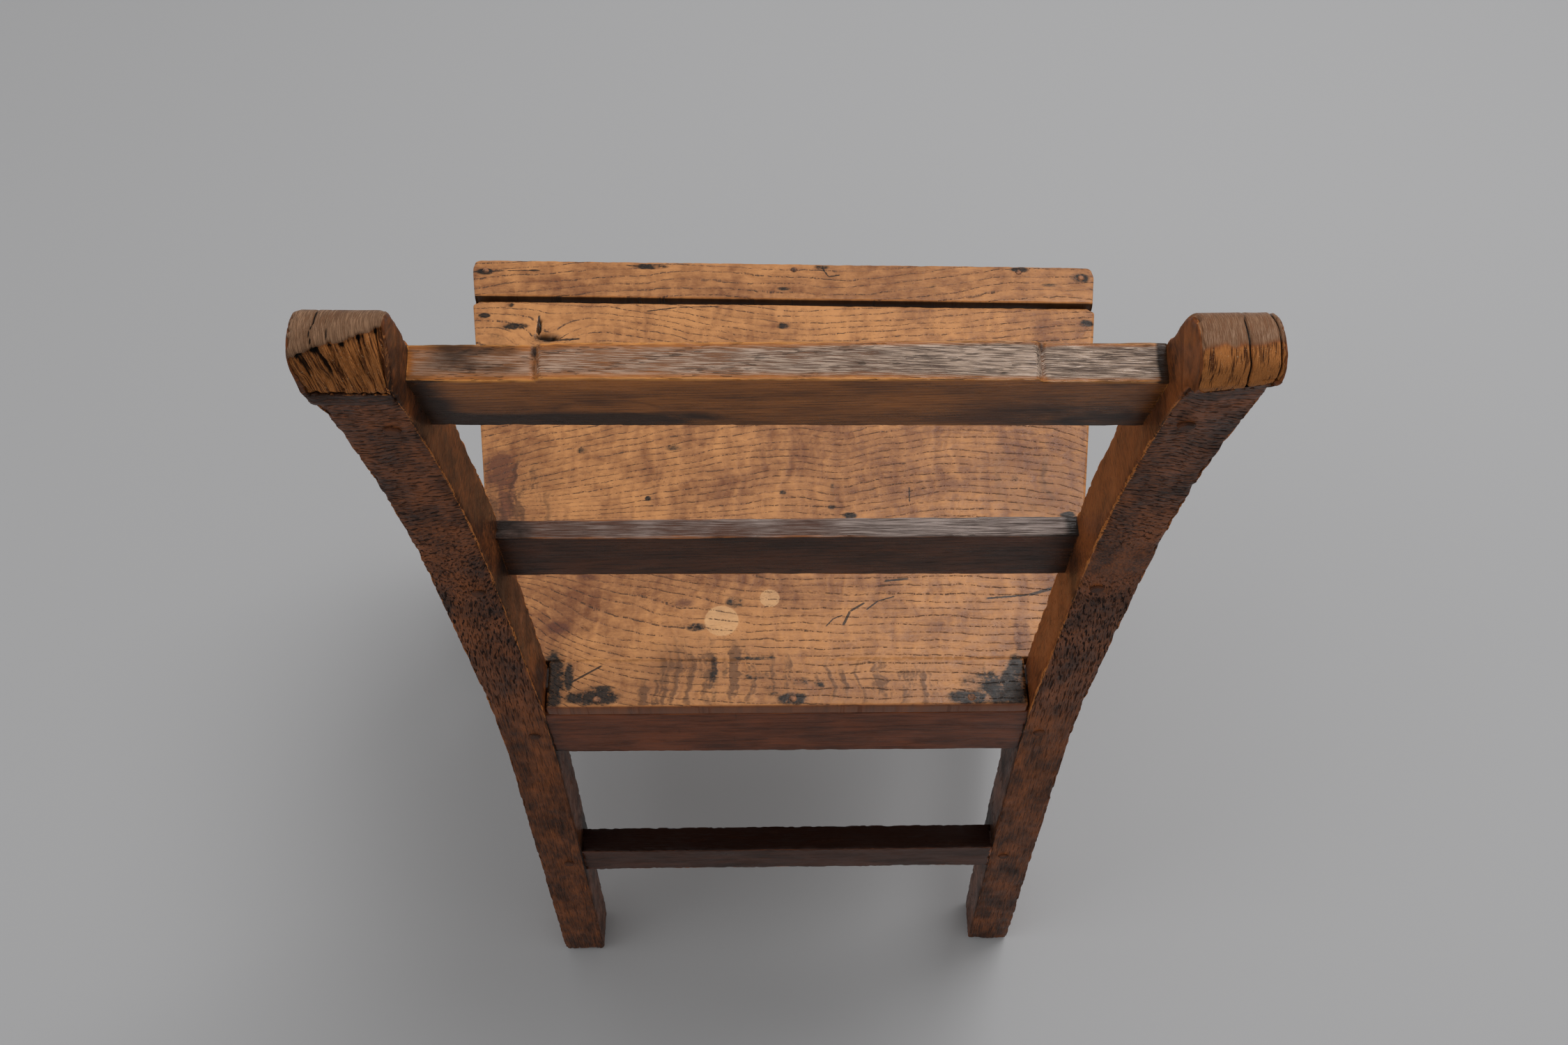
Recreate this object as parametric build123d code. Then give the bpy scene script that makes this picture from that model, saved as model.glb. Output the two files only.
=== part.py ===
from build123d import *
import math
import os

# Joined oak side chair. Millimetres. +X is the sitter's left, +Y is the back, +Z is up.
# The frame is worked out with Y = 0 on the outer face of the rear seat rail and
# is set down at the end with its origin on the floor under the middle of its bounding box.

# Seat
seat_height = 450.0
board_thickness = 12.0
seat_depth = 396.0
seat_back_inset = 4.5
seat_side_overhang = 6.0
seat_front_overhang = 1.5
strip_width = 38.0
strip_gap = 5.5
front_skew = 1.4
seat_corner_radius = 7.0
seat_edge_round = 2.0
notch_gap = 1.0

# Rear posts
post_spacing = 331.0
post_width = 36.0
post_depth = 37.0
post_proud = 2.0
knee_height = 372.0
foot_kick_left = 31.0
foot_kick_right = 24.0
bend_height = 455.0
bend_radius = 250.0
back_rake = 4.3
sweep_height = 640.0
back_sweep_radius = 1150.0
front_sweep_radius = 990.0
arris_chamfer = 1.6
foot_round = 3.0

# Scrolled ears on top of the rear posts
post_height = 924.0
ear_height = 35.5
lip_drop = 16.0
scroll_reach = 13.5
cove_depth = 4.0
crown_radius = 22.0
scroll_radius = 11.5

# Front legs
leg_width = 38.0
leg_depth = 38.0
leg_outer_half = 249.0

# Rails of the back
crest_drop = 48.0
crest_height = 52.5
crest_thickness = 18.0
crest_inset = 13.5
crest_rise = 2.5
crest_rise_half = 110.0
mid_rail_top = 662.0
mid_rail_height = 49.0
mid_rail_thickness = 12.5
mid_rail_inset = 24.0

# Seat rails
rear_rail_height = 63.0
rear_rail_thickness = 22.0
side_rail_height = 60.0
side_rail_thickness = 20.0
front_rail_height = 60.0
front_rail_thickness = 22.0
front_rail_inset = 1.0
side_inset = 2.0

# Stretchers
rear_stretcher_top = 208.0
rear_stretcher_height = 40.0
rear_stretcher_thickness = 18.0
rear_stretcher_inset = 0.4
side_stretcher_top = 144.0
side_stretcher_height = 36.0
side_stretcher_thickness = 18.0
front_stretcher_top = 208.0
front_stretcher_height = 40.0
front_stretcher_thickness = 18.0
front_stretcher_inset = 10.0
rail_chamfer = 1.2

# Joints: tenons, their mortises and the pegs that lock them
tenon_stop = 11.0
tenon_wall = 2.0
tenon_thickness = 8.0
thin_tenon_thickness = 6.0
tenon_shoulder = 5.0
tenon_clearance = 0.05
mortise_end_gap = 0.5
peg_width = 8.0
peg_sides = 8
peg_clearance = 0.05
peg_proud = 0.6
peg_inset = 12.0
side_peg_inset = 9.0
peg_stop = 6.0
peg_past = 3.0
peg_chamfer = 0.8

# Forged nails with faceted heads that hold the seat down
nail_head_width = 6.0
nail_head_height = 1.4
nail_head_crown = 3.6
nail_head_sides = 8
nail_shank = 3.2
nail_tip = 1.4
nail_length = 38.0
nail_clearance = 0.05
rear_nail_inset = 6.0
rear_nail_margins = (34.5, 38.5)
rear_nail_middle = -4.0
strip_corner_nail_margin = 8.0
strip_corner_nail_inset = 12.0
strip_inner_nail_margin = 20.0
strip_inner_nail_inset = 7.0
strip_middle_nail = -9.0

# Places worked out from the sizes above
left = 1
right = -1
sides = (left, right)
post_inner = post_spacing / 2
post_outer = post_inner + post_width
seat_back_half = post_outer - seat_back_inset
seat_front_half = leg_outer_half + seat_side_overhang
rail_top = seat_height - board_thickness
leg_front = seat_depth - seat_front_overhang
leg_inner = leg_outer_half - leg_width
leg_back = leg_front - leg_depth
board_front = seat_depth - strip_width - strip_gap
post_front = post_depth - post_proud
neck_height = post_height - ear_height
lip_height = post_height - lip_drop
crest_top = post_height - crest_drop
rake = math.radians(back_rake)
skew_slope = math.tan(math.radians(front_skew))
post_tenon = post_width - tenon_stop
leg_tenon = leg_width - tenon_stop
side_tenon = post_front - (rear_rail_thickness + tenon_thickness) / 2 - tenon_wall
peg_across = post_inner + peg_inset
post_peg_depth = post_depth - peg_stop
leg_peg_depth = leg_depth - peg_stop
foot_kicks = {left: foot_kick_left, right: foot_kick_right}
side_names = {left: "left", right: "right"}


def seat_half(depth):
    """Half width of the seat at a distance in front of its back edge."""
    return seat_back_half + (seat_front_half - seat_back_half) * depth / seat_depth


def skewed(depth, side):
    """Corner of a front edge that stands out of square, on one side of the seat."""
    half = seat_half(depth)
    return (side * half, -depth - side * half * skew_slope)


def arc_centre(start_y, start_z, radius):
    """Centre of a face that sweeps backwards from a raked start point."""
    return (start_y + radius * math.cos(rake), start_z - radius * math.sin(rake))


# The front legs, their rail and their stretcher stand as one frame, turned out of square
front_turn = Pos(0, -leg_front, 0) * Rot(0, 0, -front_skew) * Pos(0, leg_front, 0)

sweep_start_y = post_proud + (sweep_height - bend_height) * math.tan(rake)
front_start_y = sweep_start_y - post_depth * math.cos(rake)
front_start_z = sweep_height + post_depth * math.sin(rake)
back_centre = arc_centre(sweep_start_y, sweep_height, back_sweep_radius)
front_centre = arc_centre(front_start_y, front_start_z, front_sweep_radius)


def on_arc(centre, radius, height):
    """Y of a swept face at a height."""
    return centre[0] - math.sqrt(radius ** 2 - (height - centre[1]) ** 2)


def back_face(height):
    """Y of the posts' back face at a height above the seat."""
    if height > sweep_height:
        return on_arc(back_centre, back_sweep_radius, height)
    return post_proud + (height - bend_height) * math.tan(rake)


def rake_at(height):
    """Lean of the posts' back face from the vertical, in degrees."""
    if height > sweep_height:
        return math.degrees(math.asin((height - back_centre[1]) / back_sweep_radius))
    return back_rake


def middle(start, end):
    """Height half way between two heights."""
    return (start + end) / 2


def leg_back_face(side, height):
    """Y of a rear post's back face below its knee."""
    return post_proud + foot_kicks[side] * max(0.0, 1 - height / knee_height)


def corner(outline, place):
    """Vertex of an outline nearest to a place in its own plane."""
    return outline.vertices().sort_by_distance((place[0], place[1], 0))[0]


def post_outline(foot_kick):
    """Side outline of a rear post, from raked leg to scrolled ear, and its corners to round."""
    foot_back = (post_proud + foot_kick, 0)
    knee_back = (post_proud, knee_height)
    bend_back = (post_proud, bend_height)
    sweep_back = (sweep_start_y, sweep_height)
    arc_mid = middle(sweep_height, neck_height)
    back_mid = (on_arc(back_centre, back_sweep_radius, arc_mid), arc_mid)
    neck = (on_arc(back_centre, back_sweep_radius, neck_height), neck_height)
    lip = (neck[0] + scroll_reach, lip_height)
    cove = (neck[0] - cove_depth, middle(neck_height, lip_height))
    scroll_top = (lip[0], post_height)
    crown = (on_arc(front_centre, front_sweep_radius, post_height), post_height)
    front_arc_mid = middle(front_start_z, post_height)
    front_mid = (on_arc(front_centre, front_sweep_radius, front_arc_mid), front_arc_mid)
    sweep_front = (front_start_y, front_start_z)
    bend_front = (-post_front, bend_height + post_depth * math.tan(rake / 2))
    knee_front = (-post_front, knee_height)
    foot_front = (foot_back[0] - post_depth, 0)
    with BuildSketch(Plane.YZ) as outline:
        with BuildLine():
            Polyline(foot_back, knee_back, bend_back, sweep_back)
            ThreePointArc(sweep_back, back_mid, neck)
            ThreePointArc(neck, cove, lip)
            Polyline(lip, scroll_top, crown)
            ThreePointArc(crown, front_mid, sweep_front)
            Polyline(sweep_front, bend_front, knee_front, foot_front, foot_back)
        make_face()
        fillet(corner(outline, bend_back), bend_radius)
        fillet(corner(outline, bend_front), bend_radius)
    roundings = [
        (crown, crown_radius),
        (scroll_top, scroll_radius),
        (foot_back, foot_round),
        (foot_front, foot_round),
    ]
    return outline.sketch, roundings


def post_blank(side, foot_kick):
    """Rear post before its mortises are cut."""
    start = post_inner if side == left else -post_outer
    outline, roundings = post_outline(foot_kick)
    blank = extrude(Pos(start, 0, 0) * outline, amount=post_width, dir=(1, 0, 0))
    for place, radius in roundings:
        across = blank.edges().filter_by(Axis.X)
        blank = fillet(across.sort_by_distance((start, place[0], place[1]))[0], radius)
    outer = blank.faces().sort_by(Axis.X)
    return chamfer(outer[0].edges() + outer[-1].edges(), arris_chamfer)


def leg_blank(side):
    """Front leg before its mortises are cut, in its place in the turned front frame."""
    centre = side * (leg_outer_half - leg_width / 2)
    leg = Pos(centre, -(leg_front - leg_depth / 2), rail_top / 2) * Box(leg_width, leg_depth, rail_top)
    leg = chamfer(leg.edges().filter_by(Axis.Z), arris_chamfer)
    leg = chamfer(leg.faces().sort_by(Axis.Z)[0].edges(), arris_chamfer)
    return front_turn * leg


def level_bar(centre_y, top, length, thickness, height):
    """Level bar across the chair, from its middle line and its top."""
    return Pos(0, centre_y, top - height / 2) * Box(length, thickness, height)


def cross_rail(centre_y, top, shoulders, thickness, height, tenon, tenon_length):
    """Rail from side to side, with a tenon at each end, and the tool for its two mortises."""
    body = level_bar(centre_y, top, shoulders, thickness, height)
    body = chamfer(body.edges().filter_by(Axis.X), rail_chamfer)
    tenon_top = top - tenon_shoulder
    tenon_height = height - 2 * tenon_shoulder
    reach = shoulders + 2 * tenon_length
    tongue = level_bar(centre_y, tenon_top, reach, tenon, tenon_height)
    mortise = level_bar(
        centre_y,
        tenon_top + tenon_clearance,
        reach + 2 * mortise_end_gap,
        tenon + 2 * tenon_clearance,
        tenon_height + 2 * tenon_clearance,
    )
    return body + tongue, mortise


def leaning_rail(top, inset, thickness, height, tenon):
    """Rail of the back, which leans with the posts, and the tool for its two mortises."""
    # The rail's own frame: X across, Y up its face, Z forwards through its thickness.
    origin = (0, back_face(top) - inset, top)
    lean = math.radians(rake_at(top - height / 2))
    plane = Plane(origin=origin, x_dir=(1, 0, 0), z_dir=(0, -math.cos(lean), math.sin(lean)))
    body = Box(post_spacing, height, thickness, align=(Align.CENTER, Align.MAX, Align.MIN))
    body = chamfer(body.edges().filter_by(Axis.X), rail_chamfer)
    tenon_height = height - 2 * tenon_shoulder
    reach = post_spacing + 2 * post_tenon
    seat = Pos(0, -height / 2, thickness / 2)
    tongue = seat * Box(reach, tenon_height, tenon)
    mortise = seat * Box(
        reach + 2 * mortise_end_gap,
        tenon_height + 2 * tenon_clearance,
        tenon + 2 * tenon_clearance,
    )
    return plane, body + tongue, plane * mortise


def side_bar(side, top, thickness, height, tenon, blanks):
    """Splayed rail or stretcher from a rear post to a front leg, and its mortise tool."""
    # Its outer face runs just inside the outer faces of the post and the leg.
    post_corner = Vector(side * post_outer, -post_front)
    leg_corner = (front_turn * Pos(side * leg_outer_half, -leg_back, 0)).position
    run = leg_corner - post_corner
    centre = (post_corner + leg_corner) / 2
    length = run.length
    splay = Rot(0, 0, math.degrees(math.atan2(run.X, -run.Y)))
    setback = Pos(-side * (side_inset + thickness / 2), 0, 0)
    place = Pos(centre.X, centre.Y, top - height / 2) * splay * setback
    long_body = Box(thickness, length + post_depth, height)
    long_body = place * chamfer(long_body.edges().filter_by(Axis.Y), rail_chamfer)
    body = (long_body - blanks).solids().sort_by(SortBy.VOLUME)[-1]
    reach = length + 2 * side_tenon
    tenon_height = height - 2 * tenon_shoulder
    tongue = place * Box(tenon, reach, tenon_height)
    mortise = place * Box(
        tenon + 2 * tenon_clearance,
        reach + 2 * mortise_end_gap,
        tenon_height + 2 * tenon_clearance,
    )
    return body + tongue, mortise


def peg(length, extra=0.0):
    """Riven oak peg shaved to eight sides along +Z, or the tool for the hole that takes its shape."""
    section = RegularPolygon(peg_width / 2 + extra, peg_sides, major_radius=False)
    shaft = extrude(section, amount=length)
    if extra:
        return shaft
    return chamfer(shaft.faces().sort_by(Axis.Z)[0].edges(), peg_chamfer)


def peg_at(place, direction, depth):
    """Peg and hole tool driven into a face: place is on the face, direction points inwards."""
    plane = Plane(origin=place, z_dir=direction)
    pin = plane * Pos(0, 0, -peg_proud) * peg(depth + peg_proud)
    hole = plane * Pos(0, 0, -post_depth) * peg(depth + post_depth + mortise_end_gap, peg_clearance)
    return pin, hole


def upper_pegs(height):
    """Pair of pegs driven from behind, square to the swept posts, through a rail's tenons."""
    lean = math.radians(rake_at(height))
    direction = (0, -math.cos(lean), math.sin(lean))
    places = [(side * peg_across, back_face(height), height) for side in sides]
    return [peg_at(place, direction, post_peg_depth) for place in places]


def lower_pegs(height):
    """Pair of level pegs driven from behind through a rail's tenons."""
    places = [(side * peg_across, leg_back_face(side, height), height) for side in sides]
    return [peg_at(place, (0, -1, 0), post_peg_depth) for place in places]


def nail(extra=0.0):
    """Forged nail along -Z with its crowned head just above the origin, or its hole tool."""
    head_top = Plane.XY.offset(nail_head_height / 2 + extra)
    head_bottom = Plane.XY.offset(-nail_head_height / 2 - extra)
    head = loft([
        head_bottom * RegularPolygon(nail_head_width / 2 + extra, nail_head_sides, major_radius=False),
        head_top * RegularPolygon(nail_head_crown / 2 + extra, nail_head_sides, major_radius=False),
    ])
    shank_bottom = Plane.XY.offset(-nail_length - extra)
    top_width = nail_shank + 2 * extra
    tip_width = nail_tip + 2 * extra
    shank = loft([
        shank_bottom * Rectangle(tip_width, tip_width),
        head_bottom * Rectangle(top_width, top_width),
    ])
    return head + shank


def nail_at(x, y):
    """Nail and hole tool in the top of the seat."""
    place = Pos(x, y, seat_height)
    return place * nail(), place * nail(nail_clearance)


def seat_slab(corners, rounded):
    """Flat board of the seat from its corners, with chosen corners rounded in plan."""
    with BuildSketch(Plane.XY.offset(rail_top)) as plan:
        with BuildLine():
            Polyline(*corners, close=True)
        make_face()
        for place in rounded:
            fillet(corner(plan, place), seat_corner_radius)
    slab = extrude(plan.sketch, amount=board_thickness)
    return fillet(slab.faces().sort_by(Axis.Z)[-1].edges(), seat_edge_round)


# The rear posts and front legs, before their mortises
posts = {side: post_blank(side, foot_kicks[side]) for side in sides}
legs = {side: leg_blank(side) for side in sides}
nodes = {}
tools = {left: [], right: []}
leg_tools = {left: [], right: []}

# Crest rail: leans with the posts and stands a little higher in its middle
crest_plane, crest, crest_mortise = leaning_rail(
    crest_top, crest_inset, crest_thickness, crest_height, tenon_thickness
)
rise = Pos(0, -rail_chamfer, crest_thickness / 2) * Box(
    2 * crest_rise_half,
    crest_rise + rail_chamfer,
    crest_thickness,
    align=(Align.CENTER, Align.MIN, Align.CENTER),
)
rise = chamfer(rise.faces().sort_by(Axis.Y)[-1].edges(), rail_chamfer)
nodes["crest_rail"] = crest_plane * (crest + rise)

# Middle rail of the back
mid_plane, mid_rail, mid_mortise = leaning_rail(
    mid_rail_top, mid_rail_inset, mid_rail_thickness, mid_rail_height, thin_tenon_thickness
)
nodes["mid_rail"] = mid_plane * mid_rail

# Rear seat rail and rear stretcher, between the rear posts
nodes["rear_seat_rail"], rear_rail_mortise = cross_rail(
    -rear_rail_thickness / 2,
    rail_top,
    post_spacing,
    rear_rail_thickness,
    rear_rail_height,
    tenon_thickness,
    post_tenon,
)
stretcher_middle = rear_stretcher_top - rear_stretcher_height / 2
stretcher_back = min(leg_back_face(side, stretcher_middle) for side in sides) - rear_stretcher_inset
nodes["rear_stretcher"], rear_stretcher_mortise = cross_rail(
    stretcher_back - rear_stretcher_thickness / 2,
    rear_stretcher_top,
    post_spacing,
    rear_stretcher_thickness,
    rear_stretcher_height,
    thin_tenon_thickness,
    post_tenon,
)

# Front seat rail and front stretcher, between the front legs
front_rail_middle = -(leg_front - front_rail_inset - front_rail_thickness / 2)
front_rail, front_rail_mortise = cross_rail(
    front_rail_middle,
    rail_top,
    2 * leg_inner,
    front_rail_thickness,
    front_rail_height,
    tenon_thickness,
    leg_tenon,
)
front_stretcher_middle = -(leg_front - front_stretcher_inset - front_stretcher_thickness / 2)
front_stretcher, front_stretcher_mortise = cross_rail(
    front_stretcher_middle,
    front_stretcher_top,
    2 * leg_inner,
    front_stretcher_thickness,
    front_stretcher_height,
    thin_tenon_thickness,
    leg_tenon,
)
nodes["front_seat_rail"] = front_turn * front_rail
nodes["front_stretcher"] = front_turn * front_stretcher
front_mortises = [front_turn * front_rail_mortise, front_turn * front_stretcher_mortise]

# Side seat rails and side stretchers, splayed from the posts out to the legs
side_rails = {}
side_stretchers = {}
for side in sides:
    blanks = [posts[side], legs[side]]
    side_rails[side], rail_mortise = side_bar(
        side, rail_top, side_rail_thickness, side_rail_height, tenon_thickness, blanks
    )
    side_stretchers[side], stretcher_mortise = side_bar(
        side,
        side_stretcher_top,
        side_stretcher_thickness,
        side_stretcher_height,
        thin_tenon_thickness,
        blanks,
    )
    tools[side] += [rail_mortise, stretcher_mortise, crest_mortise, mid_mortise]
    tools[side] += [rear_rail_mortise, rear_stretcher_mortise]
    leg_tools[side] += [rail_mortise, stretcher_mortise] + front_mortises


def turned(pair):
    """Peg and hole tool moved with the turned front frame."""
    pin, hole = pair
    return front_turn * pin, front_turn * hole


def drive(name, pairs, pieces):
    """Store a group of pegs as one node and cut their holes through the named rails."""
    nodes[name] = Compound(children=[pin for pin, hole in pairs])
    holes = [hole for pin, hole in pairs]
    for piece in pieces:
        nodes[piece] = nodes[piece] - holes
    return holes


# Pegs driven from behind through the tenons of the back frame
crest_middle = crest_top - crest_height / 2
mid_rail_middle = mid_rail_top - mid_rail_height / 2
rear_rail_middle = rail_top - rear_rail_height / 2
back_holes = drive("crest_pegs", upper_pegs(crest_middle), ["crest_rail"])
back_holes += drive("mid_rail_pegs", upper_pegs(mid_rail_middle), ["mid_rail"])
back_holes += drive("rear_seat_rail_pegs", lower_pegs(rear_rail_middle), ["rear_seat_rail"])
back_holes += drive("rear_stretcher_pegs", lower_pegs(stretcher_middle), ["rear_stretcher"])

# Pegs driven from the front through the tenons of the front frame
leg_peg_across = leg_inner + peg_inset
front_rail_centre = rail_top - front_rail_height / 2
front_stretcher_centre = front_stretcher_top - front_stretcher_height / 2
front_holes = []
for name, rail, height in (
    ("front_seat_rail_pegs", "front_seat_rail", front_rail_centre),
    ("front_stretcher_pegs", "front_stretcher", front_stretcher_centre),
):
    pairs = [
        turned(peg_at((side * leg_peg_across, -leg_front, height), (0, 1, 0), leg_peg_depth))
        for side in sides
    ]
    front_holes += drive(name, pairs, [rail])

# Pegs driven from the outer sides through the tenons of the side rails and stretchers
side_rail_middle = rail_top - side_rail_height / 2
side_stretcher_middle = side_stretcher_top - side_stretcher_height / 2
for side in sides:
    nodes["side_seat_rail_" + side_names[side]] = side_rails[side]
    nodes["side_stretcher_" + side_names[side]] = side_stretchers[side]


def side_peg_pairs(side, height, thickness, tenon):
    """Pegs at the two ends of a side rail or stretcher, driven a little past its tenons."""
    depth = side_inset + (thickness + tenon) / 2 + peg_past
    post_y = side_peg_inset - post_depth + leg_back_face(side, height)
    leg_place = (side * leg_outer_half, -(leg_back + side_peg_inset), height)
    inwards = (-side, 0, 0)
    return [
        peg_at((side * post_outer, post_y, height), inwards, depth),
        turned(peg_at(leg_place, inwards, depth)),
    ]


side_holes = {left: [], right: []}
for name, rail, height, thickness, tenon in (
    ("side_seat_rail_pegs", "side_seat_rail_", side_rail_middle, side_rail_thickness, tenon_thickness),
    (
        "side_stretcher_pegs",
        "side_stretcher_",
        side_stretcher_middle,
        side_stretcher_thickness,
        thin_tenon_thickness,
    ),
):
    pins = []
    for side in sides:
        pairs = side_peg_pairs(side, height, thickness, tenon)
        holes = [hole for pin, hole in pairs]
        pins += [pin for pin, hole in pairs]
        nodes[rail + side_names[side]] = nodes[rail + side_names[side]] - holes
        side_holes[side] += holes
    nodes[name] = Compound(children=pins)

for side in sides:
    nodes["rear_post_" + side_names[side]] = posts[side] - tools[side] - back_holes - side_holes[side]
    nodes["front_leg_" + side_names[side]] = legs[side] - leg_tools[side] - front_holes - side_holes[side]

# Seat board, notched round the rear posts, and the separate strip along its front
notch_half = post_inner - notch_gap
notch_front = post_front + notch_gap
shoulder_half = seat_half(notch_front)
board_corners = [
    (notch_half, 0),
    (notch_half, -notch_front),
    (shoulder_half, -notch_front),
    skewed(board_front, left),
    skewed(board_front, right),
    (-shoulder_half, -notch_front),
    (-notch_half, -notch_front),
    (-notch_half, 0),
]
nodes["seat_board"] = seat_slab(board_corners, [])
strip_back = seat_depth - strip_width
front_corners = [skewed(seat_depth, left), skewed(seat_depth, right)]
strip_corners = [skewed(strip_back, left)] + front_corners + [skewed(strip_back, right)]
nodes["seat_front_strip"] = seat_slab(strip_corners, front_corners)

# Nails through the board into the rear rail, and through the strip into the front frame
rear_nail_places = (notch_half - rear_nail_margins[0], rear_nail_middle, rear_nail_margins[1] - notch_half)
rear_nails = [nail_at(x, -rear_nail_inset) for x in rear_nail_places]
drive("seat_board_nails", rear_nails, ["seat_board", "rear_seat_rail"])
strip_corner_nail = leg_outer_half - strip_corner_nail_margin
strip_nail_places = (
    (strip_corner_nail, strip_corner_nail_inset),
    (strip_middle_nail, strip_inner_nail_inset),
    (strip_inner_nail_margin - leg_inner, strip_inner_nail_inset),
    (-strip_corner_nail, strip_corner_nail_inset),
)
strip_nails = [nail_at(x, inset - seat_depth - x * skew_slope) for x, inset in strip_nail_places]
drive(
    "seat_strip_nails",
    strip_nails,
    ["seat_front_strip", "front_seat_rail", "front_leg_left", "front_leg_right"],
)

# Set the chair down with its origin on the floor under the middle of its bounding box
whole = Compound(children=[Compound(children=part.solids()) for part in nodes.values()])
box = whole.bounding_box()
setting = Pos(0, -middle(box.min.Y, box.max.Y), 0)

os.makedirs("parts", exist_ok=True)
for name, part in nodes.items():
    solids = (setting * part).solids()
    piece = solids[0] if len(solids) == 1 else Compound(children=list(solids))
    piece.label = name
    export_step(piece, "parts/" + name + ".step")
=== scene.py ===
import math
import bmesh
import bpy
import numpy as np
from mathutils import Matrix, Vector


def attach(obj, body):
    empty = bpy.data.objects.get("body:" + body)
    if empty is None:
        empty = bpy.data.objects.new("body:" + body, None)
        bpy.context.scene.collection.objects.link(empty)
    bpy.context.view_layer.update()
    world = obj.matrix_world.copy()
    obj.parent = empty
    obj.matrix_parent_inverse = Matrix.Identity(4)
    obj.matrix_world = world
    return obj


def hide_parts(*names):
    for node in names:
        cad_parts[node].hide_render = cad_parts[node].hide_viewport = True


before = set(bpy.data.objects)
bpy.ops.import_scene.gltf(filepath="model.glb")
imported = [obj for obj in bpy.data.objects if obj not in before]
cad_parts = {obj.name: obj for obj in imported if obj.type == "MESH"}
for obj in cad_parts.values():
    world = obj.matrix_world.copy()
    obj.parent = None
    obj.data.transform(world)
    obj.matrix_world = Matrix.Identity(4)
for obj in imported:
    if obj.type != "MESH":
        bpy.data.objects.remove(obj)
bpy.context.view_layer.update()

# Rear posts
# Two riven oak posts, each one piece from foot to scrolled ear: kicked back at the foot, upright at
# the seat and swept back above it. Hewn and scraped by hand, smoked dark, worn bright at the arrises.

# lengths are in millimetres, Y from the seat's back edge, and side is 1 for the left and -1 for the right
mm = 0.001
back_line = 163.033
post_inner = 165.5
post_width = 36.0
post_depth = 37.0
post_proud = 2.0
post_middle = post_inner + post_width / 2
knee = 372.0
foot_kick = {1: 31.0, -1: 24.0}
bend = 455.0
rake = math.radians(4.3)
sweep = 640.0
back_radius = 1150.0
front_radius = 990.0


def unevenness(places, size, seed):
    """Smooth random field from -1 to 1: random heights on a box lattice of the given size, blended
    between the eight nearest lattice points with the curve 3 t^2 - 2 t^3 along each axis."""
    cell = places / np.asarray(size, float)
    base = np.floor(cell)
    t = cell - base
    t = t * t * (3 - 2 * t)
    base = base.astype(np.int64)
    total = np.zeros(places.shape[:-1])
    for corner in np.ndindex(2, 2, 2):
        key = base + corner
        mixed = key[..., 0] * 73856093 ^ key[..., 1] * 19349663 ^ key[..., 2] * 83492791 ^ (seed * 7919)
        mixed = ((mixed ^ (mixed >> 13)) * 1274126177) & 0x7FFFFFFF
        mixed = (mixed ^ (mixed >> 15)) * 668265263 & 0x7FFFFFFF
        weight = np.prod(np.where(corner, t, 1 - t), axis=-1)
        total += ((mixed >> 7) % 65536 / 32767.5 - 1) * weight
    return total


def rising(value, low, high):
    """Soft step: 0 below low, 1 above high, 3 t^2 - 2 t^3 between them."""
    t = np.clip((value - low) / (high - low), 0, 1)
    return t * t * (3 - 2 * t)


def hump(value, reach):
    """Bell that is 1 at zero and falls off on both sides: exp(-(value / reach)^2)."""
    return np.exp(-(value / reach) ** 2)


def steps(count):
    """Places from -1 up to 1 along one side, closer together near its ends: 0.6 x + 0.4 sin(pi x / 2)."""
    x = np.linspace(-1, 1, count, endpoint=False)
    return 0.6 * x + 0.4 * np.sin(np.pi / 2 * x)


def line_of(*coordinates):
    """Line of places from its coordinates, each of them one value for all or a value for each place."""
    return np.stack(np.broadcast_arrays(*coordinates), 1)


def added_up(values):
    """Running total of some steps, starting from 0."""
    return np.concatenate([[0], np.cumsum(values)])


def run_along(line):
    """Distance along a line at each of its places: the lengths of its steps added up."""
    return added_up(np.linalg.norm(np.diff(line, axis=0), axis=1))


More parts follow.
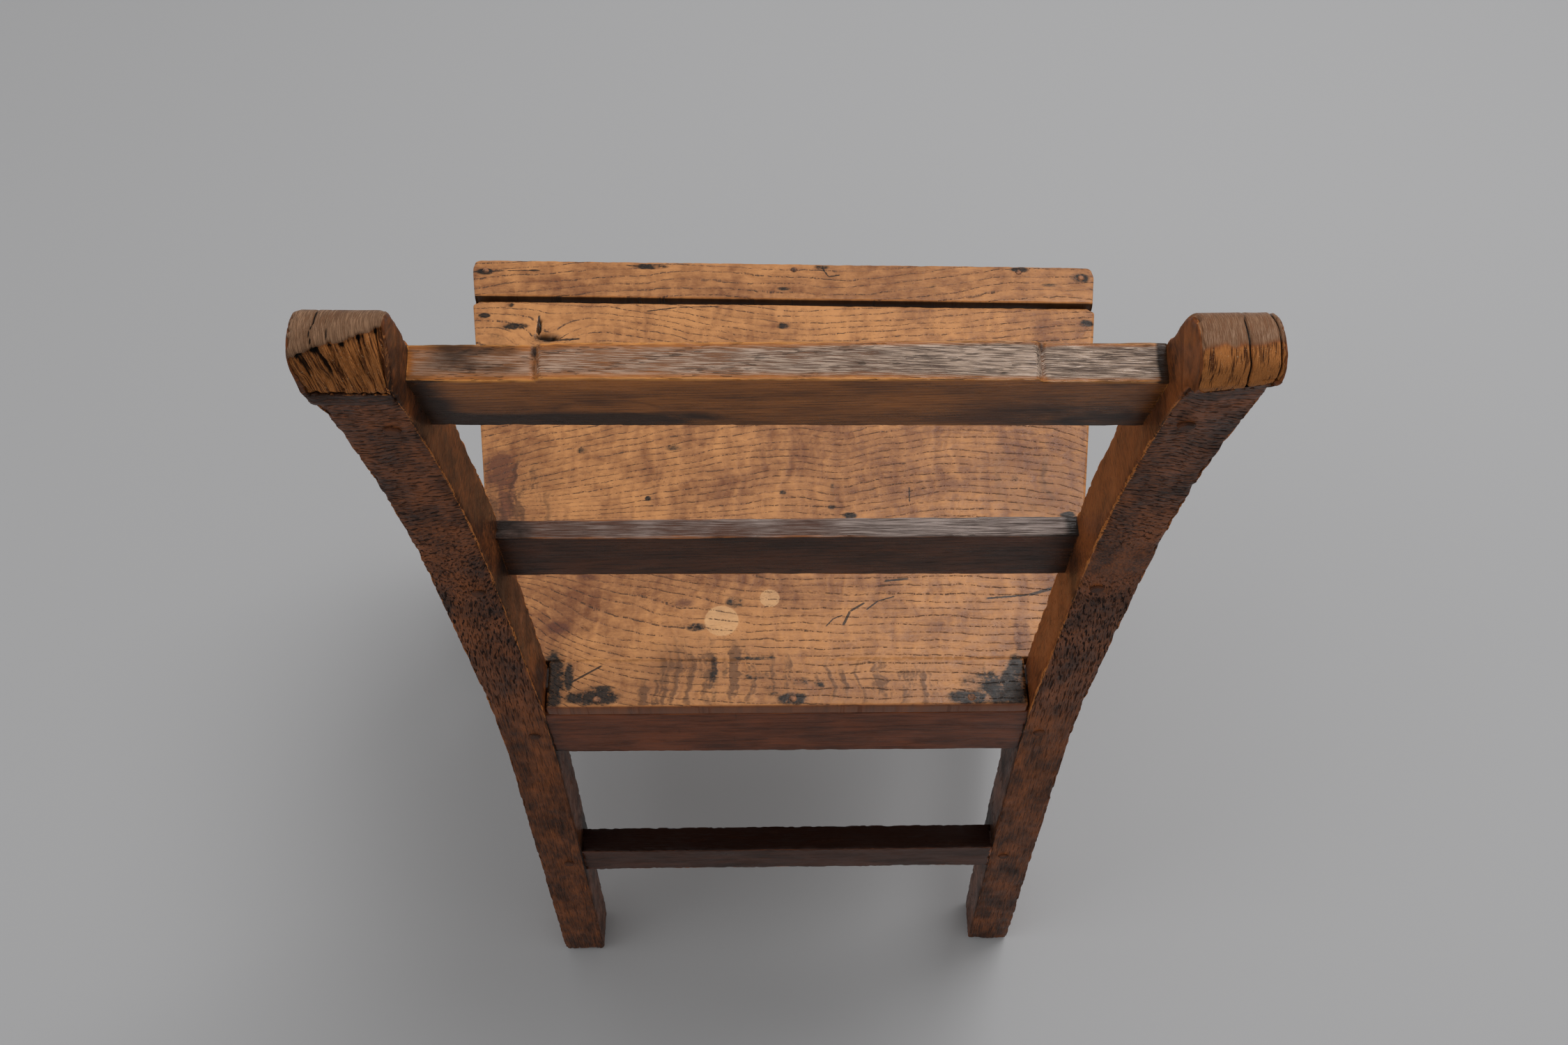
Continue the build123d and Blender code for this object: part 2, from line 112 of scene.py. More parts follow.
class Timber:
    """Skin of a piece of timber: a rounded rectangle carried along a line, closed at both ends.

    Every station has a centre, two axes, two half sizes and an arris radius. Points spread over the
    sharp rectangle are pulled to the rectangle smaller by the radius and pushed out from it again.
    Each end closes in rings that shrink to its middle, and its edge is a quarter circle."""

    def __init__(self, centre, axis_a, axis_b, half_a, half_b, arris, end_round, counts):
        count = len(centre)
        spread = lambda value, *more: np.broadcast_to(value, (count, *more)).astype(float)
        half_a, half_b, arris = spread(half_a), spread(half_b), spread(arris)
        axis_a, axis_b = spread(axis_a, 3), spread(axis_b, 3)
        ahead = np.gradient(centre, axis=0)
        ahead /= np.linalg.norm(ahead, axis=1, keepdims=True)
        run = run_along(centre)
        to_end = np.minimum(run, run[-1] - run) + end_round
        parts = [(centre, axis_a, axis_b, half_a, half_b, arris, to_end)]
        for end, sign in ((0, -1), (-1, 1)):
            shrunk = min(half_a[end], half_b[end]) * np.array([1, 0.8, 0.6, 0.4])
            inset = np.concatenate([shrunk, end_round * np.array([1, 0.65, 0.4, 0.2, 0.07])])
            inset = np.sort(inset)[::sign]
            left_over = np.clip(end_round - inset, 0, None)
            lift = np.sqrt(np.clip(end_round ** 2 - left_over ** 2, 0, None))
            rows = len(inset)
            part = (
                centre[end] + sign * ahead[end] * lift[:, None], np.tile(axis_a[end], (rows, 1)),
                np.tile(axis_b[end], (rows, 1)), half_a[end] - inset, half_b[end] - inset,
                np.full(rows, arris[end]), inset,
            )
            parts = [part] + parts if sign < 0 else parts + [part]
        centre, axis_a, axis_b, half_a, half_b, arris, to_end = (np.concatenate(p) for p in zip(*parts))
        self.body = slice(len(parts[0][0]), len(parts[0][0]) + count)
        under, right, over, left = (steps(n) for n in counts)
        self.unit = np.concatenate([
            line_of(under, -1.0), line_of(1.0, right), line_of(-over, 1.0), line_of(-1.0, -left)
        ])
        half = line_of(half_a, half_b)[:, None]
        radius = np.minimum(arris, np.minimum(half_a, half_b)).clip(1e-4)[:, None, None]
        sharp = self.unit * half
        inner = np.clip(sharp, -(half - radius), half - radius)
        out = sharp - inner
        length = np.linalg.norm(out, axis=2, keepdims=True)
        flat = inner + out * (radius / np.maximum(length, 1e-9)) * (length > 1e-9)
        self.points = centre[:, None] + flat[..., :1] * axis_a[:, None] + flat[..., 1:] * axis_b[:, None]
        self.corner = np.minimum(np.max(half * (1 - np.abs(self.unit)), axis=2), to_end[:, None])
        self.find_normals(centre)

    def find_normals(self, centre):
        """Outward direction at each point: the cross product of the steps around and along the skin."""
        around = np.roll(self.points, -1, 1) - np.roll(self.points, 1, 1)
        lengthwise = np.gradient(self.points, axis=0)
        normal = np.cross(around, lengthwise)
        size = np.linalg.norm(normal, axis=2, keepdims=True)
        normal = np.where(size > 1e-9, normal / np.maximum(size, 1e-9), 0)
        middle = self.body
        away = ((self.points[middle] - centre[middle, None]) * normal[middle]).sum()
        self.turned = away < 0
        self.normal = -normal if self.turned else normal

    def xyz(self):
        """The three coordinates of every point."""
        return np.moveaxis(self.points, -1, 0)

    def facing(self, axis, sign=1):
        """Mask of the side that looks along one of the two axes, fading at its arrises."""
        return rising(sign * self.unit[None, :, axis], 0.9, 1.0)

    def cut(self, depth):
        """Moves every point inwards by a depth in millimetres."""
        self.points = self.points - self.normal * depth[..., None]


def tool_marks(timber, wave, chip, seed, size):
    """Depth left by axe, drawknife and wear: long waves, short ripples, and chips out of the arrises."""
    field = lambda finer, turn: unevenness(timber.points, np.asarray(size) / finer, seed + turn)
    broad, short = 0.5 + 0.5 * field(1, 0), 0.5 + 0.5 * field(5, 1)
    bites = np.clip(field(6, 2) - 0.05, 0, None) + 0.6 * np.clip(field(16, 3), 0, None)
    return wave * (0.75 * broad + 0.25 * short) + chip * hump(timber.corner, 2.2) * bites


def laid(name, timber, finish, grain, wear, age=(0, 0, 0), relief=(1, 1, 1)):
    """Mesh of a timber's skin in metres, with its grain, its wear with painted shade, its age with
    painted sheen and shade, and its relief stored on its points.
    """
    rows, around = timber.points.shape[:2]
    corner = np.arange(rows * around).reshape(rows, around)
    nxt = np.roll(corner, -1, 1)
    quads = np.stack([corner[:-1], nxt[:-1], nxt[1:], corner[1:]], -1).reshape(-1, 4)
    if timber.turned:
        quads = quads[:, ::-1]
    mesh = bpy.data.meshes.new(name)
    mesh.vertices.add(rows * around)
    mesh.vertices.foreach_set("co", ((timber.points + [0, back_line, 0]) * mm).reshape(-1))
    mesh.loops.add(quads.size)
    mesh.loops.foreach_set("vertex_index", quads.reshape(-1))
    mesh.polygons.add(len(quads))
    mesh.polygons.foreach_set("loop_start", np.arange(0, quads.size, 4))
    mesh.update(calc_edges=True)
    for label, values in (("grain", grain), ("wear", wear), ("age", age), ("relief", relief)):
        stored = np.stack([np.broadcast_to(v, (rows, around)) for v in values], -1)
        layer = mesh.attributes.new(label, "FLOAT_VECTOR", "POINT")
        layer.data.foreach_set("vector", stored.astype(np.float32).reshape(-1))
    shell = bmesh.new()
    shell.from_mesh(mesh)
    shell.verts.ensure_lookup_table()
    ends = shell.verts[:around] + shell.verts[-around:]
    bmesh.ops.remove_doubles(shell, verts=ends, dist=1e-6)
    shell.verts.ensure_lookup_table()
    close = [edge for point in shell.verts[:around] + shell.verts[-around:] for edge in point.link_edges]
    bmesh.ops.dissolve_degenerate(shell, edges=list(set(close)), dist=1e-7)
    shell.to_mesh(mesh)
    shell.free()
    mesh.polygons.foreach_set("use_smooth", np.ones(len(mesh.polygons), bool))
    mesh.materials.append(finish)
    piece = bpy.data.objects.new(name, mesh)
    bpy.context.scene.collection.objects.link(piece)
    return piece


class Shade:
    """One output of a shader node. Arithmetic on it adds Math nodes, and node() adds any other node."""

    def __init__(self, tree, socket=None):
        self.tree = tree
        self.socket = socket

    def node(self, kind, settings=None, inputs=None, output=0):
        """A node of a type, with its settings first and then the values or links of its sockets."""
        made = self.tree.nodes.new("ShaderNode" + kind)
        for name, value in (settings or {}).items():
            setattr(made, name, value)
        for key, value in (inputs or {}).items():
            if isinstance(value, Shade):
                self.tree.links.new(value.socket, made.inputs[key])
            else:
                made.inputs[key].default_value = value
        return Shade(self.tree, made.outputs[output] if made.outputs else None)

    def math(self, operation, *values):
        """A Math node on some values, or on this one alone."""
        return self.node("Math", {"operation": operation}, dict(enumerate(values or (self,))))

    __add__ = lambda self, other: self.math("ADD", self, other)
    __radd__ = lambda self, other: self.math("ADD", other, self)
    __sub__ = lambda self, other: self.math("SUBTRACT", self, other)
    __rsub__ = lambda self, other: self.math("SUBTRACT", other, self)
    __mul__ = lambda self, other: self.math("MULTIPLY", self, other)
    __rmul__ = lambda self, other: self.math("MULTIPLY", other, self)
    __truediv__ = lambda self, other: self.math("DIVIDE", self, other)

    def split(self):
        """The three numbers of a vector."""
        made = self.node("SeparateXYZ", inputs={0: self})
        return tuple(Shade(self.tree, socket) for socket in made.socket.node.outputs)

    def stored(self, name):
        """The three numbers stored under a name on the points of the piece."""
        return self.node("Attribute", {"attribute_name": name}, output="Vector").split()

    def vector(self, x, y, z):
        """A vector from three numbers."""
        return self.node("CombineXYZ", inputs={0: x, 1: y, 2: z})

    def rise(self, low, high):
        """Soft step: 0 below low and 1 above high."""
        return self.node("MapRange", {"interpolation_type": "SMOOTHSTEP"}, {0: self, 1: low, 2: high})

    def cloud(self, place, detail=2.0, rough=0.5, twist=0.0, scale=1.0):
        """Noise between 0 and 1 about its middle 0.5, at a place given as a vector or three numbers."""
        place = self.vector(*place) if isinstance(place, tuple) else place
        return self.node("TexNoise", inputs={
            "Vector": place, "Scale": scale, "Detail": detail, "Roughness": rough, "Distortion": twist,
        })

    def spot(self, other, middle, radius, soft):
        """Mask that is 1 inside a circle and fades to 0 over its soft outer share."""
        across = (self - middle[0]) / radius
        up = (other - middle[1]) / radius
        distance = (across * across + up * up).math("SQRT")
        return 1 - distance.rise(1 - soft, 1.0)

    def stroke(self, other, start, end, width):
        """Mask of a straight scratch of a width between two places, tapering at its ends."""
        run = math.dist(start, end)
        way = ((end[0] - start[0]) / run, (end[1] - start[1]) / run)
        right, up = self - start[0], other - start[1]
        on = right * way[0] + up * way[1]
        off = (up * way[0] - right * way[1]).math("ABSOLUTE")
        inside = on.rise(-width, run * 0.15) * (1 - on.rise(run * 0.85, run + width))
        return (1 - off.rise(width * 0.35, width * 0.75)) * inside

    def swing(self, amount):
        """How far a noise is from its middle 0.5, times an amount."""
        return (self - 0.5) * amount

    def blend(self, first, second):
        """Colour that goes from the first to the second as this mask goes from 0 to 1. Each is three
        screen values or another node's colour."""
        first, second = (stain(*v) if isinstance(v, tuple) else v for v in (first, second))
        return self.node("Mix", {"data_type": "RGBA"}, {0: self, 6: first, 7: second}, output=2)

    def under(self, *coats):
        """This colour with one coat after another laid over it, each of them a mask and a colour."""
        colour = self
        for mask, coat in coats:
            colour = mask.blend(colour, coat)
        return colour

    def surface(self, colour, rough, height=None, relief=mm, shine=0.5, metal=0.0):
        """Ends a finish: its colour and roughness, over a bump of so many metres for each 1 of height."""
        sockets = {"Base Color": colour, "Roughness": rough, "Specular IOR Level": shine, "Metallic": metal}
        if height is not None:
            bump = {"Strength": 1.0, "Distance": relief, "Height": height}
            sockets["Normal"] = self.node("Bump", inputs=bump)
        self.node("OutputMaterial", inputs={0: self.node("BsdfPrincipled", inputs=sockets)})


def new_finish(name):
    """An empty material, and the Shade that adds its nodes."""
    finish = bpy.data.materials.new(name)
    finish.use_nodes = True
    finish.node_tree.nodes.clear()
    return finish, Shade(finish.node_tree)


def stain(red, green, blue):
    """Colour of a finish from its three screen values of 0 to 255."""
    values = (v / 255 for v in (red, green, blue))
    return (*(v / 12.92 if v < 0.04045 else ((v + 0.055) / 1.055) ** 2.4 for v in values), 1.0)


def oak(
    name, pale, deep, worn, pore, pore_long, pores, pore_deep, pore_few=0.585, pore_soft=0.055,
    ring=3.0, in_rows=0.85, row_deep=0.0, streak=0.7, patch=0.9, patch_size=(55, 20, 20),
    gloss=0.42, shine=0.22, soot_and_shade=(27, 20, 17), ridge=(172, 146, 122), furrow=(66, 52, 47),
):
    """Old oak: growth rings, open pores in rows, fibres, patches of smoke and wax, silvered tops of the
    grain that partly stand for a painted sheen, rotten ends and worn arrises. Grime and painted shade
    are laid on in the soot colour, and gaps, partly painted shade, nearly black. Heights are in millimetres."""
    finish, s = new_finish(name)
    along, radial, side = s.stored("grain")
    arris, grime_and_shade, tone = s.stored("wear")
    silver_and_sheen, raw, gap_and_shade = s.stored("age")
    pored, rowed, patchy = s.stored("relief")
    wander = s.cloud((along / 45, radial / 14, side / 14), 3.0)
    phase = (radial / ring + wander.swing(2.2)).math("FRACT")
    early = phase.rise(0.0, 0.07) * (1 - phase.rise(0.12, 0.55))
    cells = s.cloud((along / pore_long, radial / pore, side / pore), 1.0, 0.4)
    crowded = cells + early.swing(row_deep) * 0.25 + (pored - 1) * 0.05
    dash = crowded.rise(pore_few, pore_few + pore_soft) * (1 - in_rows + in_rows * early) * pored
    fibre = s.cloud((along / 30, radial / 0.9, side / 0.9), 3.0, 0.6)
    place = s.node("TexCoord", output="Object").split()
    place = s.vector(*(value / (size * mm) for value, size in zip(place, patch_size)))
    coarse = s.cloud(place, 4.0, 0.6)
    smoke = s.cloud(place, 4.0, 0.6, 0.4, scale=1.6)
    level = 0.5 + tone + coarse.swing(patch * 1.7) + fibre.swing(streak * 1.3)
    level = level - early * rowed * 0.15
    bare = (arris * 1.15 + fibre.swing(1.2) + smoke.swing(1.6)).rise(0.42, 0.8)
    furrows = s.cloud((along / 24, side / 0.3, radial / 0.9), 3.0, 0.5)
    lifted = (furrows + coarse.swing(0.35) + silver_and_sheen * 0.1).rise(0.42, 0.64)
    grey = (silver_and_sheen * 1.15 + coarse.swing(1.2) * silver_and_sheen + lifted.swing(0.3) * silver_and_sheen).rise(0.1, 0.8)
    rotten = raw.rise(0.2, 0.8)
    strand = (fibre * 3.0 - 1.0 + tone * 0.9).rise(0.15, 0.85)
    crumbs = s.cloud((along / 1.6, radial / 1.2, side / 1.2), 2.0, 0.6).rise(0.62, 0.7)
    # grime together with painted shade, laid on below in the soot colour
    dirt_and_shade = (grime_and_shade * 1.25 + smoke.swing(2.0) * (grime_and_shade + 0.12 * patchy)).rise(0.25, 0.9)
    colour = level.rise(0.0, 1.0).blend(deep, pale).under(
        (bare, worn), (grey, lifted.blend(furrow, ridge)),
        (rotten, strand.blend((78, 43, 22), (176, 112, 60))), (crumbs * rotten * 0.5, (206, 164, 122)),
        (dirt_and_shade * 0.93, soot_and_shade), (dash * pores * (1 - rotten), soot_and_shade), (gap_and_shade.rise(0.25, 0.75), (20, 13, 9)),
    )
    height = fibre.swing(0.25) - dash * pore_deep - early * rowed * row_deep + coarse.swing(0.5)
    height = height + silver_and_sheen * (lifted - 0.5) * 0.35 + rotten * (fibre - 0.5) * 1.4
    rough = gloss + smoke.swing(0.3) + dash * 0.3 + rotten * 0.15 - silver_and_sheen * (0.06 + lifted * 0.08)
    s.surface(colour, rough.rise(0.0, 1.0), height, shine=shine)
    return finish


def post_line(z, kick=0.0, inset=0.0, radius=back_radius):
    """Y of a face of the post that lies an inset in front of the back face: kicked foot, upright seat
    zone, straight rake, then an arc of a radius that sweeps back."""
    turn = bend + inset * math.tan(rake / 2)
    start_y = post_proud + (sweep - bend) * math.tan(rake) - inset * math.cos(rake)
    start_z = sweep + inset * math.sin(rake)
    centre = start_y + radius * math.cos(rake)
    low = start_z - radius * math.sin(rake)
    foot = post_proud - inset + kick * np.clip(1 - z / knee, 0, None)
    straight = post_proud - inset + (z - turn) * math.tan(rake)
    arc = centre - np.sqrt(radius ** 2 - (z - low) ** 2)
    return np.where(z < turn, foot, np.where(z < start_z, straight, arc))


def eased(z, *face, reach=14.0):
    """Line of a face, given by its kick, inset and radius, with its corners eased: the mean of five
    places spread over the reach."""
    return np.mean([post_line(z + reach * k, *face) for k in (-1, -0.5, 0, 0.5, 1)], axis=0)


def smooth_line(knots, count):
    """Line through knots: a cubic on each span whose slope at a knot is half the step between its
    neighbours, sampled at equal steps of length."""
    knots = np.asarray(knots, float)
    padded = np.concatenate([[2 * knots[0] - knots[1]], knots, [2 * knots[-1] - knots[-2]]])
    t = np.linspace(0, 1, 24, endpoint=False)[:, None]
    before, first, second, after = (padded[k:k + len(knots) - 1, None] for k in range(4))
    slope_in, slope_out = (second - before) / 2, (after - first) / 2
    line = (
        first * (2 * t ** 3 - 3 * t ** 2 + 1)
        + slope_in * (t ** 3 - 2 * t ** 2 + t)
        + second * (3 * t ** 2 - 2 * t ** 3)
        + slope_out * (t ** 3 - t ** 2)
    ).reshape(-1, knots.shape[1])
    line = np.concatenate([line, knots[-1:]])
    run = run_along(line)
    return np.stack([np.interp(np.linspace(0, run[-1], count), run, c) for c in line.T], 1)


sides = ((1, "left"), (-1, "right"))
ear_foot = 879.0
ear_rows = 90
ear_round = 1.5
ear_wider = {1: 4.2, -1: 0.5}
# height and reach of the smoke and painted shade round each rail's joint
joints = ((849, 22), (637, 22), (412, 34), (188, 22))
# front and back line of each ear on its inner side, then on its outer side
ears = {
    1: (
        [(31.2, 896.4), (35.4, 912.0), (38.2, 918.9), (42.8, 922.8),
         (48.5, 923.5), (56.5, 916.5), (63.0, 908.5), (67.2, 901.0)],
        [(60.8, 883.0), (61.6, 886.5), (62.4, 889.5), (63.0, 891.6),
         (63.5, 893.2), (64.0, 894.5), (64.3, 895.4), (64.6, 896.0)],
        [(30.8, 896.0), (34.2, 911.0), (37.2, 918.6), (43.2, 922.9),
         (53.5, 923.5), (60.8, 919.5), (62.8, 909.5), (62.6, 896.0)],
        [(60.4, 882.0), (61.0, 884.6), (61.4, 886.9), (61.6, 888.8),
         (61.7, 890.4), (61.8, 891.6), (61.9, 892.4), (62.0, 893.0)],
    ),
    -1: (
        [(31.5, 895.0), (36.0, 908.5), (40.5, 916.8), (46.5, 921.8),
         (55.0, 923.7), (64.0, 922.6), (70.8, 917.5), (73.2, 909.0)],
        [(61.0, 883.5), (62.2, 887.4), (63.5, 890.8), (65.0, 893.8),
         (66.8, 896.2), (68.2, 898.2), (69.4, 899.6), (70.2, 900.8)],
        [(31.5, 895.0), (36.0, 908.5), (40.5, 916.8), (46.5, 921.8),
         (55.0, 923.7), (63.0, 922.8), (69.0, 919.0), (71.8, 912.5)],
        [(61.0, 883.5), (62.0, 887.4), (63.0, 891.0), (64.2, 894.6),
         (65.4, 897.8), (66.7, 900.4), (67.9, 902.6), (69.0, 904.2)],
    ),
}

smoked_post = oak(
    "smoked_oak_post", pale=(140, 79, 40), deep=(49, 28, 17), worn=(184, 112, 54), ring=2.9,
    pore=1.15, pore_long=6.4, pores=0.72, pore_deep=1.5, pore_few=0.545, pore_soft=0.11, in_rows=0.5,
    row_deep=0.12, patch_size=(17, 24, 34), gloss=0.44, shine=0.1, streak=0.95, ridge=(136, 103, 78),
    furrow=(114, 83, 60),
)
for side, word in sides:
    heights = np.arange(5.0, ear_foot - 1, 2.6)
    faces = ((post_depth, front_radius), (0.0, back_radius))
    starts = [(float(eased(ear_foot, 0, *face)), ear_foot) for face in faces]
    lines = [smooth_line([start] + knots, ear_rows) for start, knots in zip(starts * 2, ears[side])]
    inner_lines, outer_lines = np.array(lines[:2]), np.array(lines[2:])
    front_line, back_side = (
        np.concatenate([line_of(eased(heights, foot_kick[side], *face), heights), ear_line])
        for face, ear_line in zip(faces, (inner_lines + outer_lines) / 2)
    )
    middle = (front_line + back_side) / 2
    depth = back_side - front_line
    half_depth = np.linalg.norm(depth, axis=1) / 2
    axis_b = line_of(0.0, *(depth / (2 * half_depth[:, None])).T)
    centre = line_of(side * post_middle, *middle.T)
    arris = 1.3 + 2.2 * rising(middle[:, 1], 870, 900) + 2.5 * (1 - rising(middle[:, 1], 3, 22))
    post = Timber(centre, (1, 0, 0), axis_b, post_width / 2, half_depth, arris, ear_round, (72, 28, 60, 28))
    rows = np.arange(len(post.points))[:, None] - post.body.stop + ear_rows
    on_front, on_back, on_inner = post.facing(1, -1), post.facing(1), post.facing(0, -side)
    outwards = post.unit[None, :, 0] * side
    # the ear differs from its inner to its outer side
    row = np.clip(rows[:, 0], 0, ear_rows - 1)
    front_turn, back_turn = ((outer_lines - inner_lines) / 2)[:, row] * (rows >= 0)
    share = (post.unit[None, :, 1:] + 1) / 2
    turn = front_turn[:, None] * (1 - share) + back_turn[:, None] * share
    post.points[..., 1:] += outwards[..., None] * turn
    widening = ear_wider[side] * rising(rows, -8, 10) * (1 - 0.6 * rising(rows, 72, ear_rows))
    post.points[..., 0] += side * widening * np.clip(outwards, 0, 1)
    post.find_normals(post.points.mean(axis=1))
    places = post.points
    x, y, z = post.xyz()
    aside = side * (x - side * post_middle)
    marks = tool_marks(post, 0.7, 2.4, 11 + side, (26, 26, 60))
    marks += on_back * 0.25 * (1 + unevenness(places, (14, 9, 5.5), 31 + side))
    marks += on_back * 0.7 * rising(z, 850, 880) * (1 - rising(rows, 4, 30))
    if side > 0:
        # its end has rotted into upright fibres with deep gaps, and the top above is split; the deepest
        # gaps and a rim under the top's ragged edge are painted dark as shade
        leaned = places - [0.2, 0, 0] * (z - 900)[..., None]
        edge = 63 + 5 * outwards + 2.2 * unevenness(leaned, (6, 200, 200), 5)
        edge += 1.3 * unevenness(leaned, (1.7, 200, 200), 6)
        rotten = rising(rows, edge, edge + 1.2) * np.maximum(on_front, on_inner)
        fibres = 0.42 * unevenness(leaned, (2.4, 70, 26), 7)
        fibres += 0.58 * unevenness(leaned, (1.05, 60, 10), 8)
        pits = np.clip(0.25 - fibres, 0, 1) ** 0.8 * (1 - 0.8 * rising(rows, 82, ear_rows + 2))
        rim = hump(rows - edge - 1.5, 1.3) * on_front
        marks += rotten * on_front * (0.4 + 3.2 * pits) + rotten * on_inner * 0.8 * pits
        marks += rim * 0.5 * unevenness(leaned, (2, 50, 50), 3)
        split = hump(aside - 11.5 - 0.8 * unevenness(places, (50, 6, 6), 4), 0.35)
        split += 0.8 * hump(aside - 5.6 - 0.7 * unevenness(places, (50, 6, 6), 6), 0.28)
        split = split * rising(rows, 22, 27) * (1 - rotten) * on_front
        # gaps: the split, with painted shade in the deepest pits and under the ragged edge
        gap_and_shade = np.clip(split + rotten * rising(pits, 0.4, 0.85) * 0.66 + 0.5 * rim * (fibres < 0), 0, 1)
        marks += split * 1.2
        silver_and_sheen = on_front * rising(rows, 14, 24) * (1 - rotten) * 0.65
        band = rotten * (0.75 * on_front + 0.55 * on_inner)
    else:
        # two cracks run over its top, and its end is worn to bare wood
        split = hump(aside - 3.2 - unevenness(places, (50, 7, 7), 14), 0.5)
        split *= rising(rows, 26, 34) * (0.6 + 0.4 * rising(rows, 50, 60))
        split += hump(aside - 15.0 - 1.2 * unevenness(places, (50, 9, 9), 15), 0.6) * rising(rows, 18, 24)
        gap_and_shade = np.clip(split * on_front, 0, 1)
        edge = 68 + 2.5 * unevenness(places, (4, 200, 200), 5)
        band = rising(rows, edge, edge + 5) * on_front
        marks += gap_and_shade * 2.0 + band * 0.5 * (0.5 + 0.5 * unevenness(places, (1.3, 30, 30), 16))
        silver_and_sheen = on_front * rising(rows, 12, 22) * (1 - band) * 0.5
        band = band * 0.85
    post.cut(marks)
    # pore rows cross the swept top and turn into long strokes below the bend
    ladder = np.arange(931.0)
    pore_length = np.interp(ladder, [0, 430, 620, 760, 930], [9.5, 8.5, 6.5, 2.6, 2.4])
    travel = added_up(5.0 / pore_length[:-1])
    climb = added_up(np.interp(ladder, [0, 480, 620, 770, 930], [0.02, 0.04, 0.22, 0.72, 0.78])[:-1])
    radial = np.interp(z, ladder, climb) + aside * np.interp(z, [0, 560, 760], [0.85, 0.6, 0.14])
    radial += 2.8 * unevenness(places, (15, 60, 34), 35 + side) * rising(z, 480, 700)
    radial += 0.6 * unevenness(places, (6, 30, 9), 37 + side) * rising(z, 430, 600)
    upright = np.maximum(on_front, on_inner) * rising(rows, 24, 34)
    slanted = aside - (0.2 * (z - 900) if side > 0 else 0)
    radial = radial * (1 - upright) + (1.2 * slanted + 0.15 * y) * upright
    length = np.interp(z, ladder, travel) + (0 if side > 0 else 3.5) * (z - 912) * upright
    crosswise = (aside + 0.6 * y) * (1 - upright) * np.interp(z, [620, 740], [1.0, 0.3])
    crosswise += slanted * upright
    # smoke and painted shade round the rail joints, painted shade on the inner faces below the seat, dark
    # places on the back, and brighter wood where hands and rails rubbed
    ear = rising(rows, 4, 14)
    near = lambda height, reach: hump(z - height, reach)
    joint_smoke_and_shade = sum(near(*joint) for joint in joints)
    # grime and painted shade: smoke with painted shade round the joints, and painted shade on the inner faces
    # below the seat
    grime_and_shade = 0.10 * on_back + 0.55 * joint_smoke_and_shade * on_inner + 0.45 * on_inner * (1 - rising(z, 395, 450))
    ear_shadow = on_inner * np.exp(-((y - 57) / 9) ** 2 - ((z - 903) / 13) ** 2)
    tone = on_inner * rising(z, 430, 470) * (-0.24 if side > 0 else 0.16) - 0.02 * on_back
    smooth_belt = 1.0
    if side > 0:
        dark_places = near(868, 14) * 0.35 + near(790, 26) * rising(-aside, -6, 14) * 0.5
        dark_places += near(745, 18) * 0.35
    else:
        dark_places = near(866, 16) * 0.4 + near(600, 34) * 0.5 + near(790, 22) * 0.2
        tone += band * (0.14 + 0.8 * unevenness(places, (1.6, 6, 6), 17) + 0.3 * rising(rows, 76, 84))
        smooth_belt = 1 - near(672, 26)
    grime_and_shade += on_back * dark_places * 0.6 * (1 - ear) + on_back * ear * 0.8
    grime_and_shade += ear_shadow * (0.9 if side > 0 else 2.2)
    tone -= on_inner * rising(z, 868, 890) * (0.1 if side > 0 else 0.2)
    tone -= on_back * 0.1 * (1 - rising(z, 180, 420))
    chipped = hump(post.corner, 1.5) * (1 - ear * 0.6) * (0.35 + 0.75 * rising(z, 300, 460))
    chipped *= np.where(outwards > 0.5, 0.55, 1.0)
    pored = on_back * (0.35 + 0.65 * rising(z, 400, 470) + 0.4 * near(590, 100)) * smooth_belt
    pored = (pored + (1 - on_back) * 0.25) * (1 - ear * 0.7)
    rowed = on_back * smooth_belt * (0.12 + 0.88 * rising(z, 600, 740))
    piece = laid(
        "worn_rear_post_" + word, post, smoked_post, (length, radial, crosswise),
        (chipped, grime_and_shade * (1 - ear * 0.8), tone + ear * (0.1 - 0.3 * on_back)), (silver_and_sheen, band, gap_and_shade),
        (pored, rowed, on_back),
    )
    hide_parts("rear_post_" + word)
    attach(piece, "root")

# Crest rail
# A planed oak rail tenoned between the ears, leaning with them. Its top stands a little higher between
# two shallow notches, and years of hands and damp have raised its grain and silvered it. The silver
# grows towards its right end as a painted sheen, and a painted shadow darkens that end by the post.
housed = 0.8
crest_top = 876.0
crest_height = 52.5
crest_inset = 13.5
crest_rise = 2.5
crest_rise_half = 110.0
crest_extra = 2.6
crest_lean = math.radians(15)


def rail_frame(top, height, inset):
    """Back upper corner of a rail that leans with the posts at its middle, its backward direction and
    its upward direction."""
    middle = top - height / 2
    lean = math.atan2(float(post_line(middle + 1) - post_line(middle - 1)), 2)
    corner = np.array([0, float(post_line(top)) - inset, top])
    backwards = np.array([0, math.cos(lean), -math.sin(lean)])
    return corner, backwards, np.array([0, math.sin(lean), math.cos(lean)])


def bar_along(half_length, spacing):
    """Stations of a crosswise bar in X, from one end that is housed in its joint to the other."""
    reach = half_length + housed
    return np.linspace(-reach, reach, int(2 * reach / spacing))


def arched_grain(along, forward, height, pith, slant):
    """Grain of a sawn rail: the way along it, the distance from a pith, and the way across it."""
    return along, np.hypot(forward - pith[0], height - pith[1]) + slant * along, forward + height


